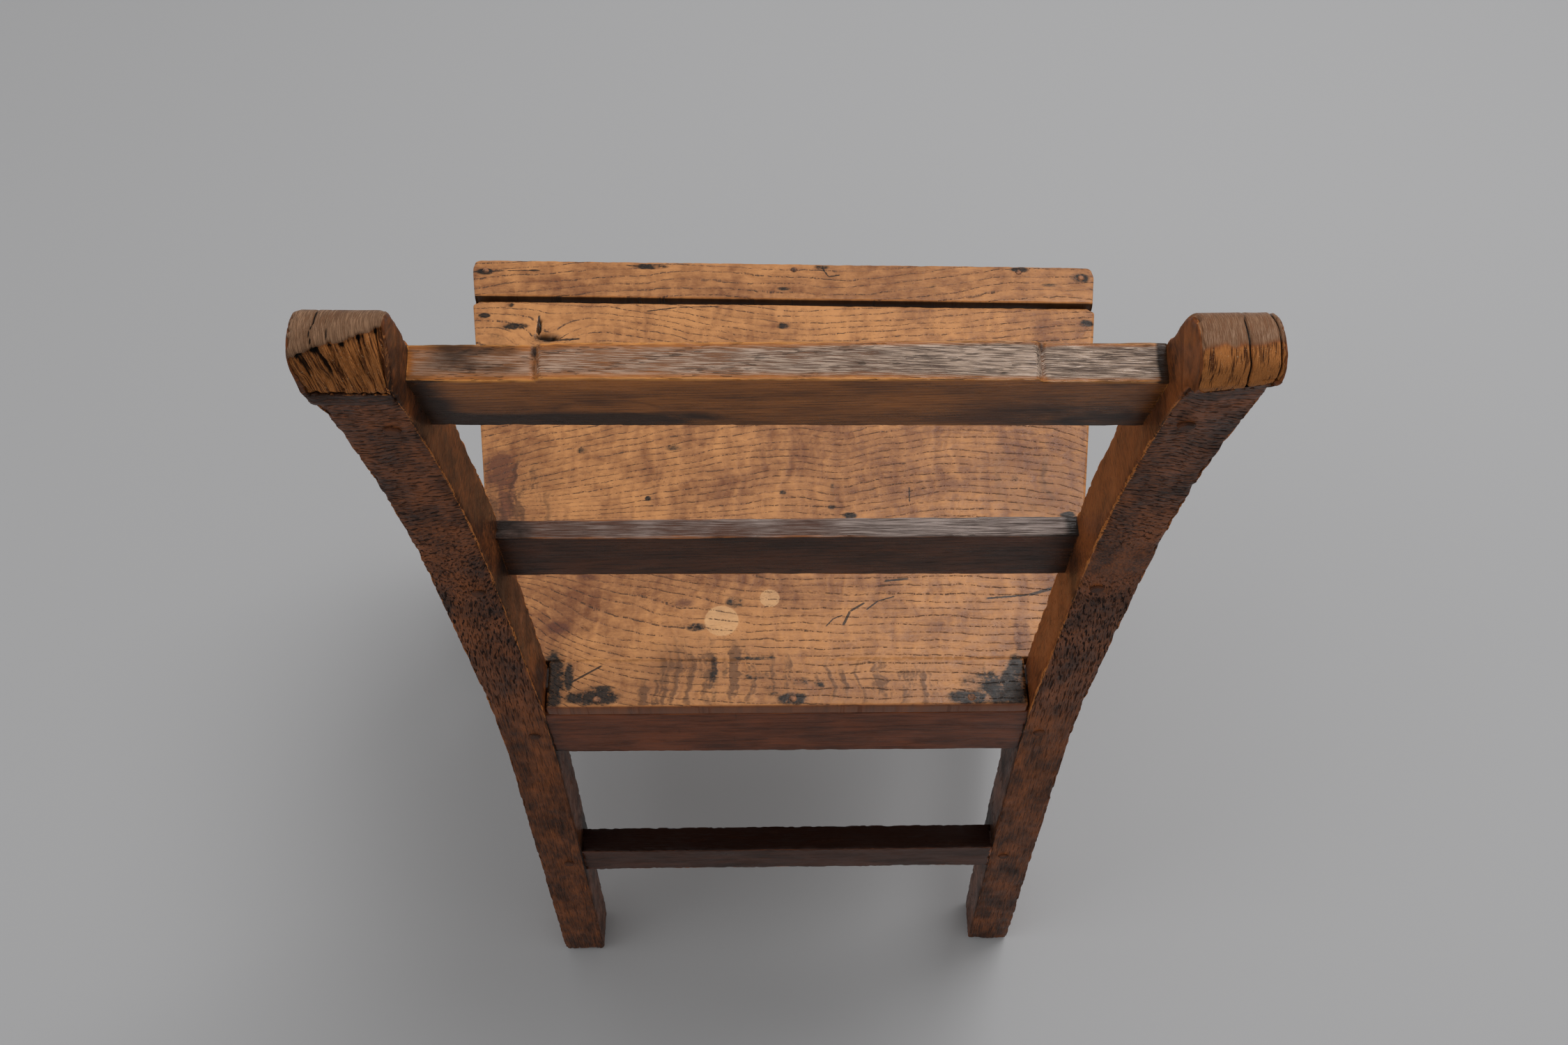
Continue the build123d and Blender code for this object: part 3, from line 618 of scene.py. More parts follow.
corner, back_dir, up_dir = rail_frame(crest_top, crest_height, crest_inset)
across = bar_along(post_inner, 1.2)
raised = rising(-np.abs(across), -crest_rise_half - 0.8, -crest_rise_half + 0.8)
racked = 3.4 * across / post_inner - 0.4
fuller = 9.0 + 0.8 * rising(-across, -120, 120)
tops = crest_rise * raised - hump(np.abs(across) - crest_rise_half, 1.2)
centre = corner - back_dir * fuller[:, None] + up_dir * (racked + (tops - crest_height) / 2)[:, None]
centre[:, 0] = across
half_height = (crest_height + crest_extra + tops) / 2
crest = Timber(centre, back_dir, up_dir, fuller, half_height, 1.1, 0.5, (14, 40, 28, 30))
x, y, z = crest.xyz()
on_top, on_back = crest.facing(1), crest.facing(0)
drop = (crest_top - z) / math.cos(crest_lean)
furrow = 0.5 + 0.5 * unevenness(crest.points, (26, 1.5, 1.5), 43)
marks = tool_marks(crest, 0.35, 0.8, 41, (60, 20, 20))
crest.cut(marks + on_top * (0.5 * furrow * (0.3 + 0.7 * rising(-x, -60, 120))))
left_end = rising(x, 108, 122) * (0.6 + 0.4 * rising(x, 125, 166))
# the last few millimetres of the top by the right post are darkened: a painted contact shadow
right_end_contact_shadow = rising(-x, 159, 164)
step = hump(np.abs(x) - crest_rise_half - 1.0, 1.7)
low_shadow = rising(drop, 30, 40) * rising(x, -40, 90) + rising(x, 140, 162) * 0.8
low_shadow += rising(-x, 60, 130) * (0.35 + 0.3 * rising(drop, 12, 40))
grime_and_shade = on_back * (0.08 + 0.75 * low_shadow)
ring_stain = np.abs(np.hypot((x - 82) / 25, (drop - 34) / 14) - 1) * 14
grime_and_shade += on_back * 0.3 * hump(ring_stain, 1.8) * rising(-drop, -36, -30)
streaky = unevenness(crest.points, (24, 4, 4), 47)
grime_and_shade += on_top * (left_end * (0.5 + 0.5 * streaky) + 0.9 * right_end_contact_shadow + step * (0.4 + 0.5 * streaky))
# silvered top, lighter towards the right end: weathered grain, partly a painted sheen
silver_and_sheen = on_top * (0.46 - 0.1 * left_end + 0.22 * rising(-x, -90, 60) + 0.24 * rising(-x, 40, 100))
silver_and_sheen *= (1 - 0.4 * right_end_contact_shadow) * (1 - 0.5 * step) * (1 - 0.7 * hump(crest.corner - 1.0, 2.2))
tone = on_back * (0.12 * rising(-drop, -30, -8) - 0.1 * rising(-x, 20, 120)) + on_top * 0.42
oiled_rail = oak(
    "oiled_oak_crest", pale=(168, 102, 47), deep=(80, 45, 21), worn=(196, 130, 66), ring=3.2,
    pore=0.5, pore_long=9.0, pores=0.55, pore_deep=0.25, gloss=0.36, streak=0.9,
    ridge=(174, 150, 132), furrow=(86, 69, 60),
)
piece = laid(
    "worn_crest_rail", crest, oiled_rail, arched_grain(x, y, z, (40, 760), 0.035),
    (hump(crest.corner, 1.5), grime_and_shade, tone), (silver_and_sheen, 0, 0), (0.5 + 0.5 * on_top, 1.0, 0.6),
)
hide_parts("crest_rail")
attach(piece, "root")

# Middle rail of the back
# A thinner oak rail tenoned between the posts half way up the back, scraped smooth and smoke dark.
mid_top = 662.0
mid_height = 49.0
mid_thickness = 12.5
mid_inset = 24.0
corner, back_dir, up_dir = rail_frame(mid_top, mid_height, mid_inset)
across = bar_along(post_inner, 2.0)
sagged = 1.3 * rising(-across, -100, post_inner)
centre = corner - back_dir * mid_thickness / 2 - up_dir * mid_height / 2 - up_dir * sagged[:, None]
centre[:, 0] = across
half_height = mid_height / 2 + sagged
mid = Timber(centre, back_dir, up_dir, mid_thickness / 2, half_height, 0.9, 0.5, (10, 28, 14, 28))
x, y, z = mid.xyz()
on_top, on_back = mid.facing(1), mid.facing(0)
mid.cut(tool_marks(mid, 0.35, 0.6, 51, (70, 20, 20)))
# darker at the ends and foot of its back and at the ends of its top: grime, with painted shade where it meets
# the posts
grime_and_shade = on_back * (0.16 + 0.35 * rising(np.abs(x), 130, 166) + 0.15 * rising(-z, -625, -613))
grime_and_shade += on_top * (0.75 * rising(x, 130, 160) + 0.3 * rising(-x, 100, 160) + 0.5 * rising(-x, 156, 163))
# silvered top, lighter towards the right end: weathered grain, partly a painted sheen
silver_and_sheen = on_top * (0.46 + 0.38 * rising(-x, 0, 110)) * (1 - 0.2 * rising(x, 120, 150))
smoked_rail = oak(
    "smoked_oak_middle_rail", pale=(92, 52, 31), deep=(40, 25, 17), worn=(190, 114, 56),
    pore=0.45, pore_long=8.0, pores=0.4, pore_deep=0.2, gloss=0.36, streak=0.8, shine=0.16,
    ridge=(146, 130, 122), furrow=(70, 56, 52),
)
piece = laid(
    "worn_mid_rail", mid, smoked_rail, arched_grain(x, y, z, (-60, 600), 0.02),
    (hump(mid.corner, 1.3), grime_and_shade, on_top * 0.75), (silver_and_sheen, 0, 0), (0.6, 1.0, 0.6),
)
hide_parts("mid_rail")
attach(piece, "root")

# Rear seat rail and rear stretcher
# Two oak rails tenoned between the rear posts: a deep one that carries the back of the seat, and a
# light hewn one near the floor that ties the posts. Both are red-brown with worn upper arrises.
seat_top = 450.0
board = 12.0
rail_top = seat_top - board
seat_bed = rail_top + 0.5
rear_rail_size = (22.0, 63.0)
tie_size = (21.0, 43.0)
tie_top = 208.0


def level_bar(across, back_y, top, thickness, height, arris, counts):
    """Crosswise bar with both axes square: its back face at back_y and its top at a height."""
    centre = line_of(across, back_y - thickness / 2, top - height / 2)
    return Timber(centre, (0, 1, 0), (0, 0, 1), thickness / 2, height / 2, arris, 0.5, counts)


across = bar_along(post_inner, 2.0)
rear_rail = level_bar(across, 0.0, rail_top, *rear_rail_size, 0.9, (14, 32, 14, 32))
x, y, z = rear_rail.xyz()
on_back = rear_rail.facing(0)
rear_rail.cut(tool_marks(rear_rail, 0.4, 0.5, 61, (60, 25, 25)) * rising(seat_bed - z, 0, 1.5))
red_rail = oak(
    "red_oak_seat_rail", pale=(126, 68, 40), deep=(70, 37, 22), worn=(150, 84, 44), ring=3.4,
    pore=0.4, pore_long=9.0, pores=0.3, pore_deep=0.15, gloss=0.4, streak=0.9, shine=0.14,
)
# darker towards the bottom of its back, and at its ends where it meets the posts: grime and painted shade
grime_and_shade = on_back * (0.1 + 0.2 * rising(-z, -392, -376) + 0.3 * rising(np.abs(x), 150, 166))
cracks = hump(x - 75 - 0.06 * (z - 400), 0.5) + hump(x - 37 + 0.05 * (z - 400), 0.5)
piece = laid(
    "worn_rear_seat_rail", rear_rail, red_rail, arched_grain(x, y, z, (-90, 380), 0.015),
    (hump(rear_rail.corner, 1.2) * 0.45, grime_and_shade, 0.0), (0, 0, 0.5 * cracks * on_back), (0.5, 1.0, 0.5),
)
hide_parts("rear_seat_rail")
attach(piece, "root")

tie_back = post_proud + foot_kick[-1] * (1 - (tie_top - 20) / knee) - 0.4
tie_tops = tie_top - 1.4 - 1.6 * across / post_inner
tie = level_bar(across, tie_back, tie_tops, *tie_size, 1.3, (14, 26, 16, 26))
x, y, z = tie.xyz()
tie.cut(tool_marks(tie, 1.1, 1.3, 71, (22, 14, 30)))
tie_finish = oak(
    "dark_oak_stretcher", pale=(86, 52, 38), deep=(46, 28, 20), worn=(150, 84, 46), ring=3.4,
    pore=0.4, pore_long=9.0, pores=0.3, pore_deep=0.15, gloss=0.4, streak=0.6, shine=0.14, soot_and_shade=(30, 14, 9),
)
# its top face is painted dark in its soot colour: a painted shadow under the seat
piece = laid(
    "worn_rear_stretcher", tie, tie_finish, arched_grain(x, y, z, (-50, 160), 0.02),
    (hump(tie.corner, 1.7) * 0.8, tie.facing(1) * 0.8 + 0.04, 0), relief=(0.4, 1.0, 0.3),
)
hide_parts("rear_stretcher")
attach(piece, "root")

# Front legs, front seat rail and front stretcher
# A plain oak frame that stands a little out of square to the back: two square legs, a deep rail under
# the front of the seat and a stretcher, all tenoned and pegged.
skew = math.radians(-1.4)
leg_front = 394.5
leg_size = 38.0
leg_outer = 249.0
leg_pith = (180, -330)
# each bar's top, thickness, height and inset from the front of the legs
front_bars = {
    "front_seat_rail": (rail_top, 22.0, 60.0, 1.0),
    "front_stretcher": (208.0, 18.0, 40.0, 10.0),
}
leg_middle = leg_outer - leg_size / 2
along_front = (math.cos(skew), math.sin(skew), 0)
towards_back = (-math.sin(skew), math.cos(skew), 0)


def skewed(places):
    """Turns places about the middle of the front frame by its skew from square."""
    x, y, z = np.moveaxis(places, -1, 0)
    c, s = math.cos(skew), math.sin(skew)
    return np.stack([c * x - s * (y + leg_front), s * x + c * (y + leg_front) - leg_front, z], -1)


def frame_bar(centre, axis, thickness, height, seed, wave_size):
    """Sawn bar of the under frame, flat where the seat lies on it, and the places of its points
    before it is cut."""
    bar = Timber(centre, axis, (0, 0, 1), thickness / 2, height / 2, 1.2, 0.5, (14, 28, 14, 28))
    places = bar.xyz()
    bar.cut(tool_marks(bar, 0.6, 0.9, seed, wave_size) * rising(seat_bed - places[2], 0, 1.5))
    return bar, places


plain_frame = oak(
    "brown_oak_under_frame", pale=(124, 78, 48), deep=(66, 42, 29), worn=(172, 108, 58),
    pore=0.5, pore_long=7.0, pores=0.6, pore_deep=0.3, patch=0.7, patch_size=(30, 30, 30),
)
for side, word in sides:
    heights = np.arange(3.0, rail_top - 1.5, 2.4)
    leg = Timber(
        skewed(line_of(side * leg_middle, leg_size / 2 - leg_front, heights)), along_front, towards_back,
        leg_size / 2, leg_size / 2, 1.6 + 1.5 * (1 - rising(heights, 3, 20)), 2.0, (26, 26, 26, 26),
    )
    x, y, z = leg.xyz()
    leg.cut(tool_marks(leg, 0.7, 1.2, 81 + side, (26, 26, 60)) * rising(rail_top - z, 0, 2))
    from_pith = (x - side * leg_pith[0], y - leg_pith[1])
    piece = laid(
        "worn_front_leg_" + word, leg, plain_frame,
        (z, np.hypot(*from_pith), np.arctan2(*from_pith) * 60),
        (hump(leg.corner, 1.8) * 0.9, 0.2 + 0.3 * (1 - rising(z, 0, 60)), 0),
    )
    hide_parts("front_leg_" + word)
    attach(piece, "root")

for name, (top, thickness, height, inset) in front_bars.items():
    across = bar_along(leg_outer - leg_size, 2.2)
    centre = skewed(line_of(across, inset + thickness / 2 - leg_front, top - height / 2))
    bar, (x, y, z) = frame_bar(centre, towards_back, thickness, height, 91 + int(inset), (50, 20, 30))
    piece = laid(
        "worn_" + name, bar, plain_frame, (x, np.hypot(y + 330, z - top + 90) + 0.02 * x, z),
        (hump(bar.corner, 1.5) * 0.8, 0.22, 0),
    )
    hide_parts(name)
    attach(piece, "root")

# Side seat rails and side stretchers
# Oak bars that splay from the rear posts out to the front legs, one pair under the seat and one pair
# low down, shouldered against post and leg and pegged from the outside.
side_run = 320
# each pair's top, thickness and height
side_bars = {"side_seat_rail_": (rail_top, 20.0, 60.0), "side_stretcher_": (144.0, 18.0, 36.0)}
for side, word in sides:
    post_corner = np.array([side * (post_inner + post_width), post_proud - post_depth, 0])
    leg_corner = skewed(np.array([side * leg_outer, leg_size - leg_front, 0]))
    ahead = (leg_corner - post_corner) / np.linalg.norm(leg_corner - post_corner)
    inwards = np.array([-side * abs(ahead[1]), -side * ahead[0] * np.sign(-ahead[1]), 0])
    for name, (top, thickness, height) in side_bars.items():
        start = post_corner + [0, foot_kick[side] * max(0.0, 1 - (top - height / 2) / knee), 0]
        t = np.linspace(-1.5 / side_run, 1 + 1.5 / side_run, side_run // 2)[:, None]
        centre = start + (leg_corner - start) * t + inwards * (2.0 + thickness / 2)
        centre[:, 2] = top - height / 2
        bar, (x, y, z) = frame_bar(centre, inwards, thickness, height, 101 + side, (25, 50, 25))
        piece = laid(
            "worn_" + name + word, bar, plain_frame,
            (y, np.hypot(x - side * 150, z - top + 100) + 0.02 * y, z),
            (hump(bar.corner, 1.5) * 0.8, 0.22, 0),
        )
        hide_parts(name + word)
        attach(piece, "root")

# Seat board
# One wide plain-sawn oak plank, notched round the rear posts and nailed down. Waxed and sat on for
# centuries: honey brown, its rings and pores standing out dark, with iron stains at nails and corners.

# places on it are given to the right of its middle and forward from its back edge
seat_depth = 396.0
strip_width = 38.0
strip_gap = 5.5
notch_gap = 1.0
front_round = 4.0
hole_depth = 7.5
back_half = post_inner + post_width - 4.5
front_half = leg_outer + 6.0
board_front = seat_depth - strip_width - strip_gap
skew_slope = math.tan(-skew)
swirl = (186, 320)
knot_hole = (186, 321)


def seat_half(depth):
    """Half width of the seat at a distance in front of its back edge."""
    return back_half + (front_half - back_half) * depth / seat_depth


def drawn_back(to_end, radius):
    """How far a rounded corner draws back at a distance from the end: r less root of r^2 - (r - d)^2."""
    to_end = np.clip(to_end, 0, radius)
    return radius - np.sqrt(np.clip(radius ** 2 - (radius - to_end) ** 2, 0, None))


# how far the growth rings stray from straight at places along the plank
ring_stray = {
    "back": (
        (-200, 62), (-172, 49), (-152, 34), (-129, 22), (-105, 14), (-75, 7), (-29, 2), (38, 0), (105, 0),
        (230, -5),
    ),
    "middle": (
        (-240, -52), (-200, -40), (-162, -30), (-112, -18), (-62, -8), (-12, 1), (22, 2), (36, -5), (71, 4),
        (121, 12), (171, 9), (215, 3), (235, -10),
    ),
    "front": (
        (-250, 34), (-150, 30), (-95, 20), (-62, 11), (-29, 3), (5, -2), (71, 0), (138, 5), (205, 11),
        (250, 14),
    ),
}


def ring_line(right, part):
    """Stray of the rings in one part of the plank: straight spans between its knots, eased by the mean
    of five places 6 mm apart."""
    at, stray = zip(*ring_stray[part])
    return np.mean([np.interp(right + k, at, stray) for k in (-12, -6, 0, 6, 12)], axis=0)


def plank_rings(right, depth):
    """Ring distance over the seat plank: its depth less the stray of its rings, which changes from the
    back of the plank through its middle to its front, with a swirl round the knot."""
    to_mid = rising(depth, 70, 190)
    to_front = rising(depth, 240, 325)
    back, middle, front = (ring_line(right, part) for part in ring_stray)
    stray = back * (1 - to_mid) + middle * to_mid * (1 - to_front) + front * to_front
    from_knot = np.hypot(right + swirl[0], (depth - swirl[1]) * 1.4)
    rings = depth - stray + 16 * hump(from_knot, 26)
    slack = 0.5 * hump(np.hypot((right + 125) / 70, (depth - 78) / 42), 1)
    return rings - (rings - 62) * slack


notch_front = post_depth - post_proud + notch_gap
depths = np.concatenate([
    [2.0], np.linspace(3.0, notch_front - 0.01, 17), np.linspace(notch_front, board_front - 2.0, 205),
])
halves = np.where(depths < notch_front, post_inner - notch_gap, seat_half(depths))
halves -= drawn_back(board_front - 2.0 - depths, front_round)
centre = line_of(0.0, -depths, seat_top - board / 2)
plank = Timber(centre, (1, 0, 0), (0, 0, 1), halves, board / 2, 2.0, 2.0, (30, 8, 320, 8))
x, y, z = plank.xyz()
plank.points[..., 1] -= x * skew_slope * rising(-y, 40, board_front)
right, deep = -x, -y
on_top = plank.unit[None, :, 1] > 0.99
# the knot has fallen out into a slanting hole, with a short split beside it; both are cut in and
# painted dark, the hole's dark standing for the shade inside it
from_hole, past_hole = right + knot_hole[0], deep - knot_hole[1]
hole_and_its_shade = 1 - rising(np.hypot((from_hole + 0.9 * past_hole) / 8.5, past_hole / 3.2), 0.55, 1.2)
hole_and_its_shade = np.maximum(hole_and_its_shade, 1 - rising(np.hypot((right + 193) / 1.2, (deep - 332) / 9), 0.6, 1.1)) * on_top
marks = tool_marks(plank, 0.45, 0.5, 111, (45, 60, 45)) * on_top + hole_and_its_shade * hole_depth
plank.cut(marks * rising(z, seat_top - 6, seat_top - 1))
back_edge = rising(y, -1.6, -0.4)


def ovals(places):
    """Strength of each oval mark on the piece in hand, and how many times its half size away each
    point lies. A place is (right, deep, half right, half deep, strength)."""
    for at_right, at_deep, half_right, half_deep, strength in places:
        yield strength, np.hypot((right - at_right) / half_right, (deep - at_deep) / half_deep)


def patches(*places):
    """Sum of soft oval marks: each falls straight from its middle to nothing at 1.5 half sizes."""
    return sum(strength * np.clip(1.5 - reach, 0, 1) for strength, reach in ovals(places))


def stains(*places):
    """Strongest of some oval marks: each is solid in the middle and nothing at 1.6 half sizes."""
    marks = [strength * np.clip(1.6 - reach, 0, 1) for strength, reach in ovals(places)]
    return np.maximum.reduce(marks)


grime_and_shade = np.maximum(patches(
    (235, 330, 14, 16, 0.3), (-214, 331, 16, 9, 0.3), (-150, 320, 30, 12, 0.2), (165, 55, 8, 24, 0.3),
    (138, 22, 30, 20, 0.3),
), stains(
    (-162, 18, 9, 24, 0.95), (-150, 24, 3.5, 11, 0.8), (-133, 8, 18, 5.5, 0.95), (-128, 14.5, 12, 2.6, 0.6),
    (152, 12, 18, 13, 0.98), (160, 26, 9, 11, 0.9), (124, 6, 15, 6, 0.88), (136, 18, 17, 11, 0.6),
    (4, 5.6, 10, 4.6, 0.9), (-238, 343, 4.4, 2.6, 0.95), (0.3, 330.7, 6, 3, 0.85), (240, 331, 6, 4, 0.75),
    (-213, 332, 12, 3.4, 0.7), (-218, 354, 3.4, 2.6, 0.7), (-188, 320, 12, 5, 0.75),
    (47, 153, 5.4, 2.4, 0.9), (207, 152.5, 5.4, 2.6, 0.9), (34.5, 160.5, 3, 1.8, 0.85),
    (35.8, 176, 2.4, 8, 0.55), (-63, 61.5, 8, 3.4, 0.62), (-36, 81, 7, 5, 0.6), (-22, 23, 9, 3, 0.65),
    (-22, 37, 14, 1.8, 0.7), (-50, 22, 3.6, 24, 0.52), (-43, 30, 2.4, 11, 0.55), (-10, 12, 7, 5, 0.45),
    (10, 19, 7, 3.6, 0.6), (22, 17, 5, 3.6, 0.55), (-1.4, 173.4, 2.4, 2.2, 0.9), (-101, 169, 2.2, 2.2, 0.9),
    (-226, 316, 9, 14, 0.4), (-206, 344, 18, 4, 0.35), (-83, 214, 8, 3.2, 0.45),
    (-152, 212, 4.4, 3.6, 0.55), (171, 183, 3.6, 9, 0.4),
))
tone = 0.14 * rising(deep, 285, 340) * rising(240 - np.abs(right), 0, 60) + 0.10 * rising(-deep, -110, -40)
tone -= patches(
    (-150, 70, 40, 40, 0.16), (-210, 190, 30, 40, 0.06), (-60, 320, 70, 16, 0.08), (170, 330, 60, 40, 0.14),
)
tone += patches((-130, 240, 110, 90, 0.12), (0, 320, 70, 40, 0.1))
tone -= 0.10 * rising(deep, 150, 180) * rising(-deep, -260, -230)
rust = patches(
    (-160, 62, 9, 5, 0.9), (-214, 196, 12, 16, 1.0), (-205, 176, 6, 24, 0.8), (-73, 81, 9, 5, 0.6),
    (-142, 103, 8, 4, 0.8), (165, 60, 6, 20, 0.5), (180, 180, 34, 26, 0.25), (-215, 160, 26, 14, 0.25),
    (150, 40, 30, 20, 0.25),
)
streaks = patches(
    (-50, 26, 40, 30, 0.75), (100, 14, 70, 18, 0.75), (-198, 172, 24, 34, 0.95), (10, 25, 60, 16, 0.5),
    (185, 180, 36, 28, 0.5), (-95, 8, 18, 10, 0.7), (36, 176, 5, 16, 0.5),
)


def waxed_plank(name, ring, figure, cracks, cups=()):
    """Waxed plain-sawn oak: thin dashed rings, scattered pores, cross bands of figure, ragged iron
    stains, pale rings left by cups, and cracks. Holes and open joints are painted dark as the shade in
    them. A cup is (right, deep, radius) and a crack is (start, end, width), all in millimetres."""
    finish, s = new_finish(name)
    along, radial, side = s.stored("grain")
    arris, grime_and_shade, tone = s.stored("wear")
    red, streak, gap_and_shade = s.stored("age")
    edge = s.stored("relief")[0]
    wander = s.cloud((along / 40, radial / 22, side / 22), 3.0)
    jitter = s.cloud((along / 4.5, radial / 6, 0.0), 3.0, 0.7)
    count = radial / ring + wander.swing(1.4) + jitter.swing(0.22)
    phase = count.math("FRACT")
    line = phase.rise(0.0, 0.03) * (1 - phase.rise(0.09, 0.17))
    soft_line = phase.rise(0.0, 0.05) * (1 - phase.rise(0.1, 0.5))
    number = (count - phase) * 7.31
    broken = s.cloud((along / 3.4, number, 3.7), 3.0, 0.75).rise(0.41, 0.55)
    faint = s.cloud((along / 50, number, 1.3)).rise(0.28, 0.55)
    ring_dark = line * broken * (0.25 + 0.75 * faint)
    pores = s.cloud((along / 3.2, radial / 0.5, side / 0.5), 1.0, 0.4)
    crowd = s.cloud((along / 35, side / 14, 4.4))
    dash = pores.rise(0.66, 0.71) * (0.2 + soft_line) * crowd.rise(0.35, 0.65)
    specks = s.cloud((along / 1.3, side / 1.0, 0.7)).rise(0.69, 0.74)
    specks = specks * s.cloud((along / 30, side / 25, 8.1)).rise(0.5, 0.66)
    fibre = s.cloud((along / 26, radial / 0.9, side / 0.9), 3.0, 0.6)
    patch = s.cloud((along / 60, side / 38, 5.0), 4.0, 0.6)
    mottle = s.cloud((along / 11, side / 7, 2.0), 4.0, 0.65)
    fine = s.cloud((along / 2.2, side / 1.6, 9.0), 3.0, 0.6)
    bands = s.cloud((along / 7 + patch.swing(4), side / 60, 6.0))
    level = 0.53 + tone + patch.swing(1.1) + mottle.swing(0.8) + fibre.swing(0.35) + fine.swing(0.25)
    level = level + bands.swing(figure) - soft_line * 0.08
    rusty = (red * (1.2 + mottle.swing(3.0) + bands.swing(2.0) + fine.swing(1.5))).rise(0.3, 1.0)
    drips = bands.swing(4.2) + mottle.swing(2.2) + fine.swing(0.8)
    drips = (streak * (0.2 + drips)).rise(0.02, 0.6)
    bare = (arris * 1.1 + mottle.swing(0.9)).rise(0.4, 0.9)
    torn = 1.1 + mottle.swing(2.2) + bands.swing(1.6) + fine.swing(0.9)
    black = (grime_and_shade * torn + mottle.swing(0.1)).rise(0.3, 0.85)
    discs = [(along + fine.swing(1.2)).spot(side, (cup[0], cup[1]), cup[2], 0.1) for cup in cups]
    # gaps and holes, painted dark as the shade in them, with the cracks laid over
    split = gap_and_shade
    for start, end, width in cracks:
        crack = (along + fine.swing(2)).stroke(side + fine.swing(2), start, end, width)
        split = split.math("MAXIMUM", split, crack)
    colour = level.rise(0.0, 1.0).blend((114, 68, 42), (200, 139, 85)).under(
        (rusty * 0.8, (88, 48, 36)), (drips * 0.75, (78, 48, 32)), (bare * 0.6, (196, 126, 64)),
        *((disc * (0.14 + mottle * 0.72), (224, 178, 128)) for disc in discs),
        (ring_dark * 0.9, (72, 50, 36)), (dash * 0.75, (60, 42, 31)), (specks * 0.7, (52, 37, 29)),
        (black * (0.78 + fine * 0.36), (25, 19, 15)), (split.rise(0.1, 0.7) * 0.9, (30, 22, 17)),
        (edge * 0.9, level.rise(0.0, 1.0).blend((70, 40, 26), (122, 68, 40))),
    )
    height = fibre.swing(0.12) - ring_dark * 0.22 - dash * 0.25 - specks * 0.2 + mottle.swing(0.25)
    height = height + bands.swing(0.2) + fine.swing(0.06)
    rough = 0.40 + mottle.swing(0.4) + ring_dark * 0.2 + dash * 0.2
    s.surface(colour, rough.rise(0.0, 1.0), height, shine=0.28)
    return finish


seat_finish = waxed_plank(
    "waxed_oak_seat", 6.2, 0.75, cups=((-45.5, 66.5, 12.6), (-11.6, 84.3, 7.4)),
    cracks=(
        ((27.7, 61.4), (33.2, 67.5), 0.8), ((33.2, 67.5), (39.5, 70), 0.8), ((39.9, 62.2), (45.1, 73.3), 1.6),
        ((45.1, 73.3), (55.5, 80), 1.3), ((56.8, 74.6), (65.1, 81.5), 1.0), ((65.1, 81.5), (77, 85), 0.9),
        ((141, 83), (173, 85.7), 1.3), ((172, 85.4), (192, 91.5), 2.0), ((-150.5, 18), (-127, 32.3), 1.2),
        ((70, 97.6), (88, 99.6), 1.4), ((-194.6, 325), (-194, 343), 1.5), ((-182, 317.5), (-160, 319), 1.6),
        ((-110, 346.2), (-84, 350.2), 1.0), ((-85, 350.1), (-50, 350.8), 0.8), ((91.6, 164), (92, 178), 0.8),
    ),
)
piece = laid(
    "worn_seat_board", plank, seat_finish, (right, plank_rings(right, deep), deep),
    (hump(plank.corner, 2.0) * 0.7, np.clip(grime_and_shade, 0, 1.2), tone),
    (np.clip(rust, 0, 1), np.clip(streaks, 0, 1), hole_and_its_shade), (back_edge, 0, 0),
)
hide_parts("seat_board")
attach(piece, "root")

# Front strip of the seat
# A separate oak board along the front edge, with its own grain, laid with an open joint behind it
# where the plank has shrunk. Its front corners are rounded by wear and it is nailed to the front frame.
corner_radius = 7.0
strip_half = front_half - 2.6
even = np.linspace(-1, 1, 250)
bunched = np.sin(np.linspace(-math.pi / 2, math.pi / 2, 250) * 0.94)
across = (0.75 * even + 0.25 * (bunched / bunched[-1])) * strip_half
back_y = -(seat_depth - strip_width) - across * skew_slope
front_y = 0.1 - seat_depth + drawn_back(strip_half - np.abs(across), corner_radius) - across * skew_slope
centre = line_of(across, (back_y + front_y) / 2, seat_top - board / 2)
strip = Timber(centre, (0, 1, 0), (0, 0, 1), (back_y - front_y) / 2, board / 2, 2.0, 2.0, (20, 8, 40, 8))
x, y, z = strip.xyz()
strip.points[..., 0] = x * seat_half(-y - x * skew_slope) / front_half
right, deep = -x, -y - x * skew_slope
strip.cut(tool_marks(strip, 0.5, 0.6, 121, (45, 60, 45)) * rising(z, seat_top - 6, seat_top - 1))
wave = 5 * np.sin((right + 40) / 52) + 4 * unevenness(strip.points, (60, 300, 300), 122)
# the back face in the open joint is painted dark: grime and painted shade
gap_face_grime_and_shade = strip.facing(0) * (1 - rising(z, seat_top - 2.4, seat_top - 0.8))
strip_stains = stains(
    (-242, 383, 8, 3.2, 0.9), (-201, 384.5, 5, 1.6, 0.6), (-108, 390.5, 13, 2.8, 0.9), (1, 369, 6, 2, 0.7),
    (32, 392, 6, 3, 0.85), (192, 392, 7, 3, 0.9), (240, 384, 7, 4.6, 0.9), (216, 376, 9, 2.2, 0.55),
    (120, 378, 6, 12, 0.25), (236, 376, 12, 10, 0.35),
)
strip_finish = waxed_plank("waxed_oak_strip", 7.2, 0.5, cracks=(
    ((-253, 382.2), (-225, 384), 1.0), ((-225, 384), (-196, 384.8), 0.8), ((32, 391), (37, 382), 1.1),
    ((37, 382), (46, 384), 1.1), ((-128, 391.5), (-108, 390), 0.9),
))
piece = laid(
    "worn_seat_front_strip", strip, strip_finish, (right, deep * 0.9 + wave - 0.05 * right, deep),
    (hump(strip.corner, 2.2) * 0.7, strip_stains, -0.02),
    (0.35 * patches((-60, 375, 60, 20, 0.5)), 0.3 * patches((115, 378, 18, 20, 1.0)), gap_face_grime_and_shade), (0, 0, 0),
)
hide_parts("seat_front_strip")
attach(piece, "root")

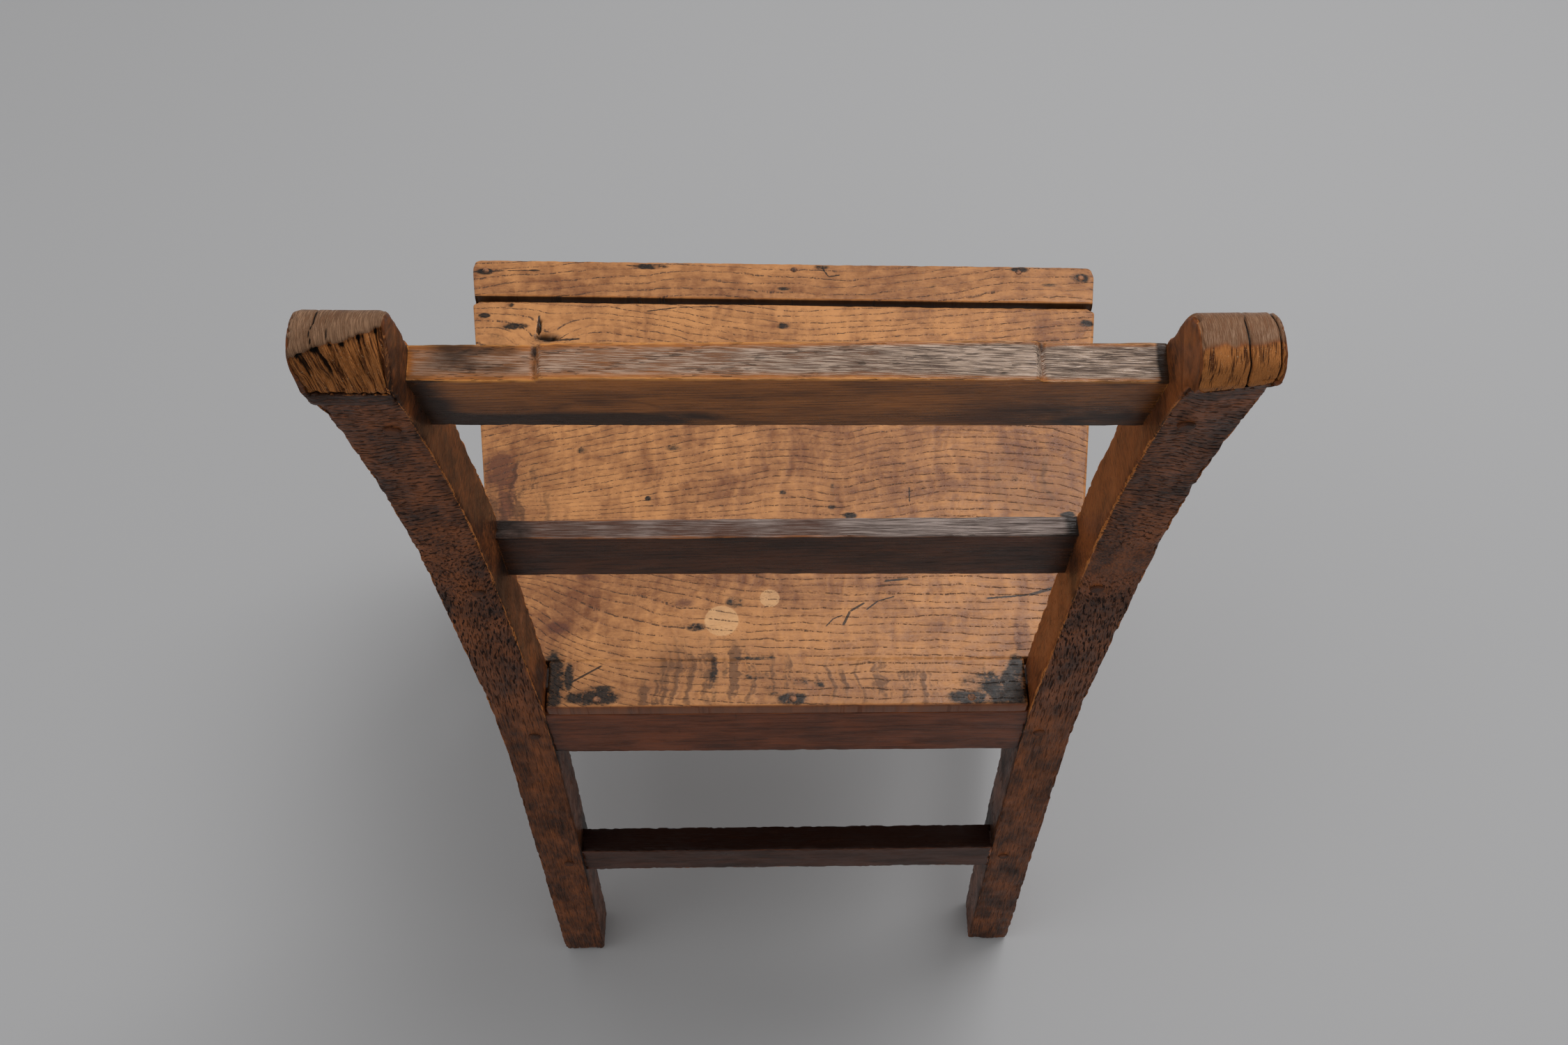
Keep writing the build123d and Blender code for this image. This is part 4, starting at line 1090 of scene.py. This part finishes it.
# Pegs
# Riven oak pins, shaved to eight sides and driven through the tenons. Their ends stand just proud,
# rounded by wear and as dark as the frame round them.


def refinish(name, finish):
    """Gives one of the carried-over pieces a finish of its own."""
    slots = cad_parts[name].data.materials
    slots.clear()
    slots.append(finish)


peg_finish, s = new_finish("smoked_oak_peg")
place = s.node("TexCoord", output="Object")
fibres = s.cloud(place, 3.0, 0.6, scale=1400.0)
blotch = s.cloud(place, 3.0, scale=120.0)
colour = (blotch.swing(2) + 0.45 + (fibres - 0.5)).rise(0.0, 1.0).blend((50, 30, 20), (102, 59, 36))
s.surface(colour, 0.4 + blotch * 0.3, fibres + blotch, 0.2 * mm, shine=0.15)
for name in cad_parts:
    if name.endswith("_pegs"):
        refinish(name, peg_finish)

# Nails
# Small forged iron nails with faceted heads, rusted brown and hammered flush with the seat.
iron, s = new_finish("rusted_iron")
place = s.node("TexCoord", output="Object")
pits = s.cloud(place, 4.0, 0.65, scale=900.0)
rust = s.cloud(place, 3.0, scale=260.0)
colour = (rust.swing(2.5) + 0.5 + (pits - 0.5)).rise(0.0, 1.0).blend((60, 44, 36), (160, 108, 74))
s.surface(colour, 0.5 + pits * 0.3, pits, 0.2 * mm, metal=0.55 - rust * 0.5)
for name in ("seat_board_nails", "seat_strip_nails"):
    refinish(name, iron)

# Floor, light and camera
# A plain pale floor, a large soft lamp above and in front, a weaker one at the side, and even light
# all round.
floor_half = 12.0
floor_mesh = bpy.data.meshes.new("floor")
floor_corners = [(floor_half * x, floor_half * y, 0) for x, y in ((-1, -1), (1, -1), (1, 1), (-1, 1))]
floor_mesh.from_pydata(floor_corners, [], [(0, 1, 2, 3)])
floor = bpy.data.objects.new("floor", floor_mesh)
studio = bpy.context.scene
studio.collection.objects.link(floor)
paint, s = new_finish("pale_floor")
s.surface(stain(172, 172, 173), 0.75)
floor_mesh.materials.append(paint)

world = bpy.data.worlds.new("studio")
world.use_nodes = True
sky = world.node_tree.nodes["Background"].inputs
sky["Color"].default_value = (1, 1, 1, 1)
sky["Strength"].default_value = 0.5
studio.world = world


def soft_lamp(name, place, size, power, target=(0, 0, 0.45)):
    """Square soft lamp at a place, facing a target."""
    lamp = bpy.data.lights.new(name, "AREA")
    lamp.size = size
    lamp.energy = power
    holder = bpy.data.objects.new(name, lamp)
    holder.location = place
    holder.rotation_euler = (Vector(target) - Vector(place)).to_track_quat("-Z", "Y").to_euler()
    studio.collection.objects.link(holder)


soft_lamp("key_lamp", (-1.0, -0.9, 2.9), 1.5, 42)
soft_lamp("side_lamp", (2.2, 0.6, 2.0), 1.6, 8)

eye = (0.0057, 0.618633, 1.4235)
yaw, pitch = math.radians(0.45), math.radians(58.23)
ahead = Vector((-math.sin(yaw) * math.cos(pitch), -math.cos(yaw) * math.cos(pitch), -math.sin(pitch)))
rightwards = Vector((-math.cos(yaw), math.sin(yaw), 0))
upwards = rightwards.cross(ahead)
camera_data = bpy.data.cameras.new("camera")
camera_data.sensor_width = 36.0
camera_data.lens = 36.0
camera_data.clip_start = 0.05
camera = bpy.data.objects.new("camera", camera_data)
turned = Matrix((rightwards, upwards, -ahead)).transposed().to_4x4()
camera.matrix_world = Matrix.Translation(eye) @ turned
studio.collection.objects.link(camera)
bpy.context.scene.camera = camera
studio.view_settings.view_transform = "Standard"

bpy.context.view_layer.update()
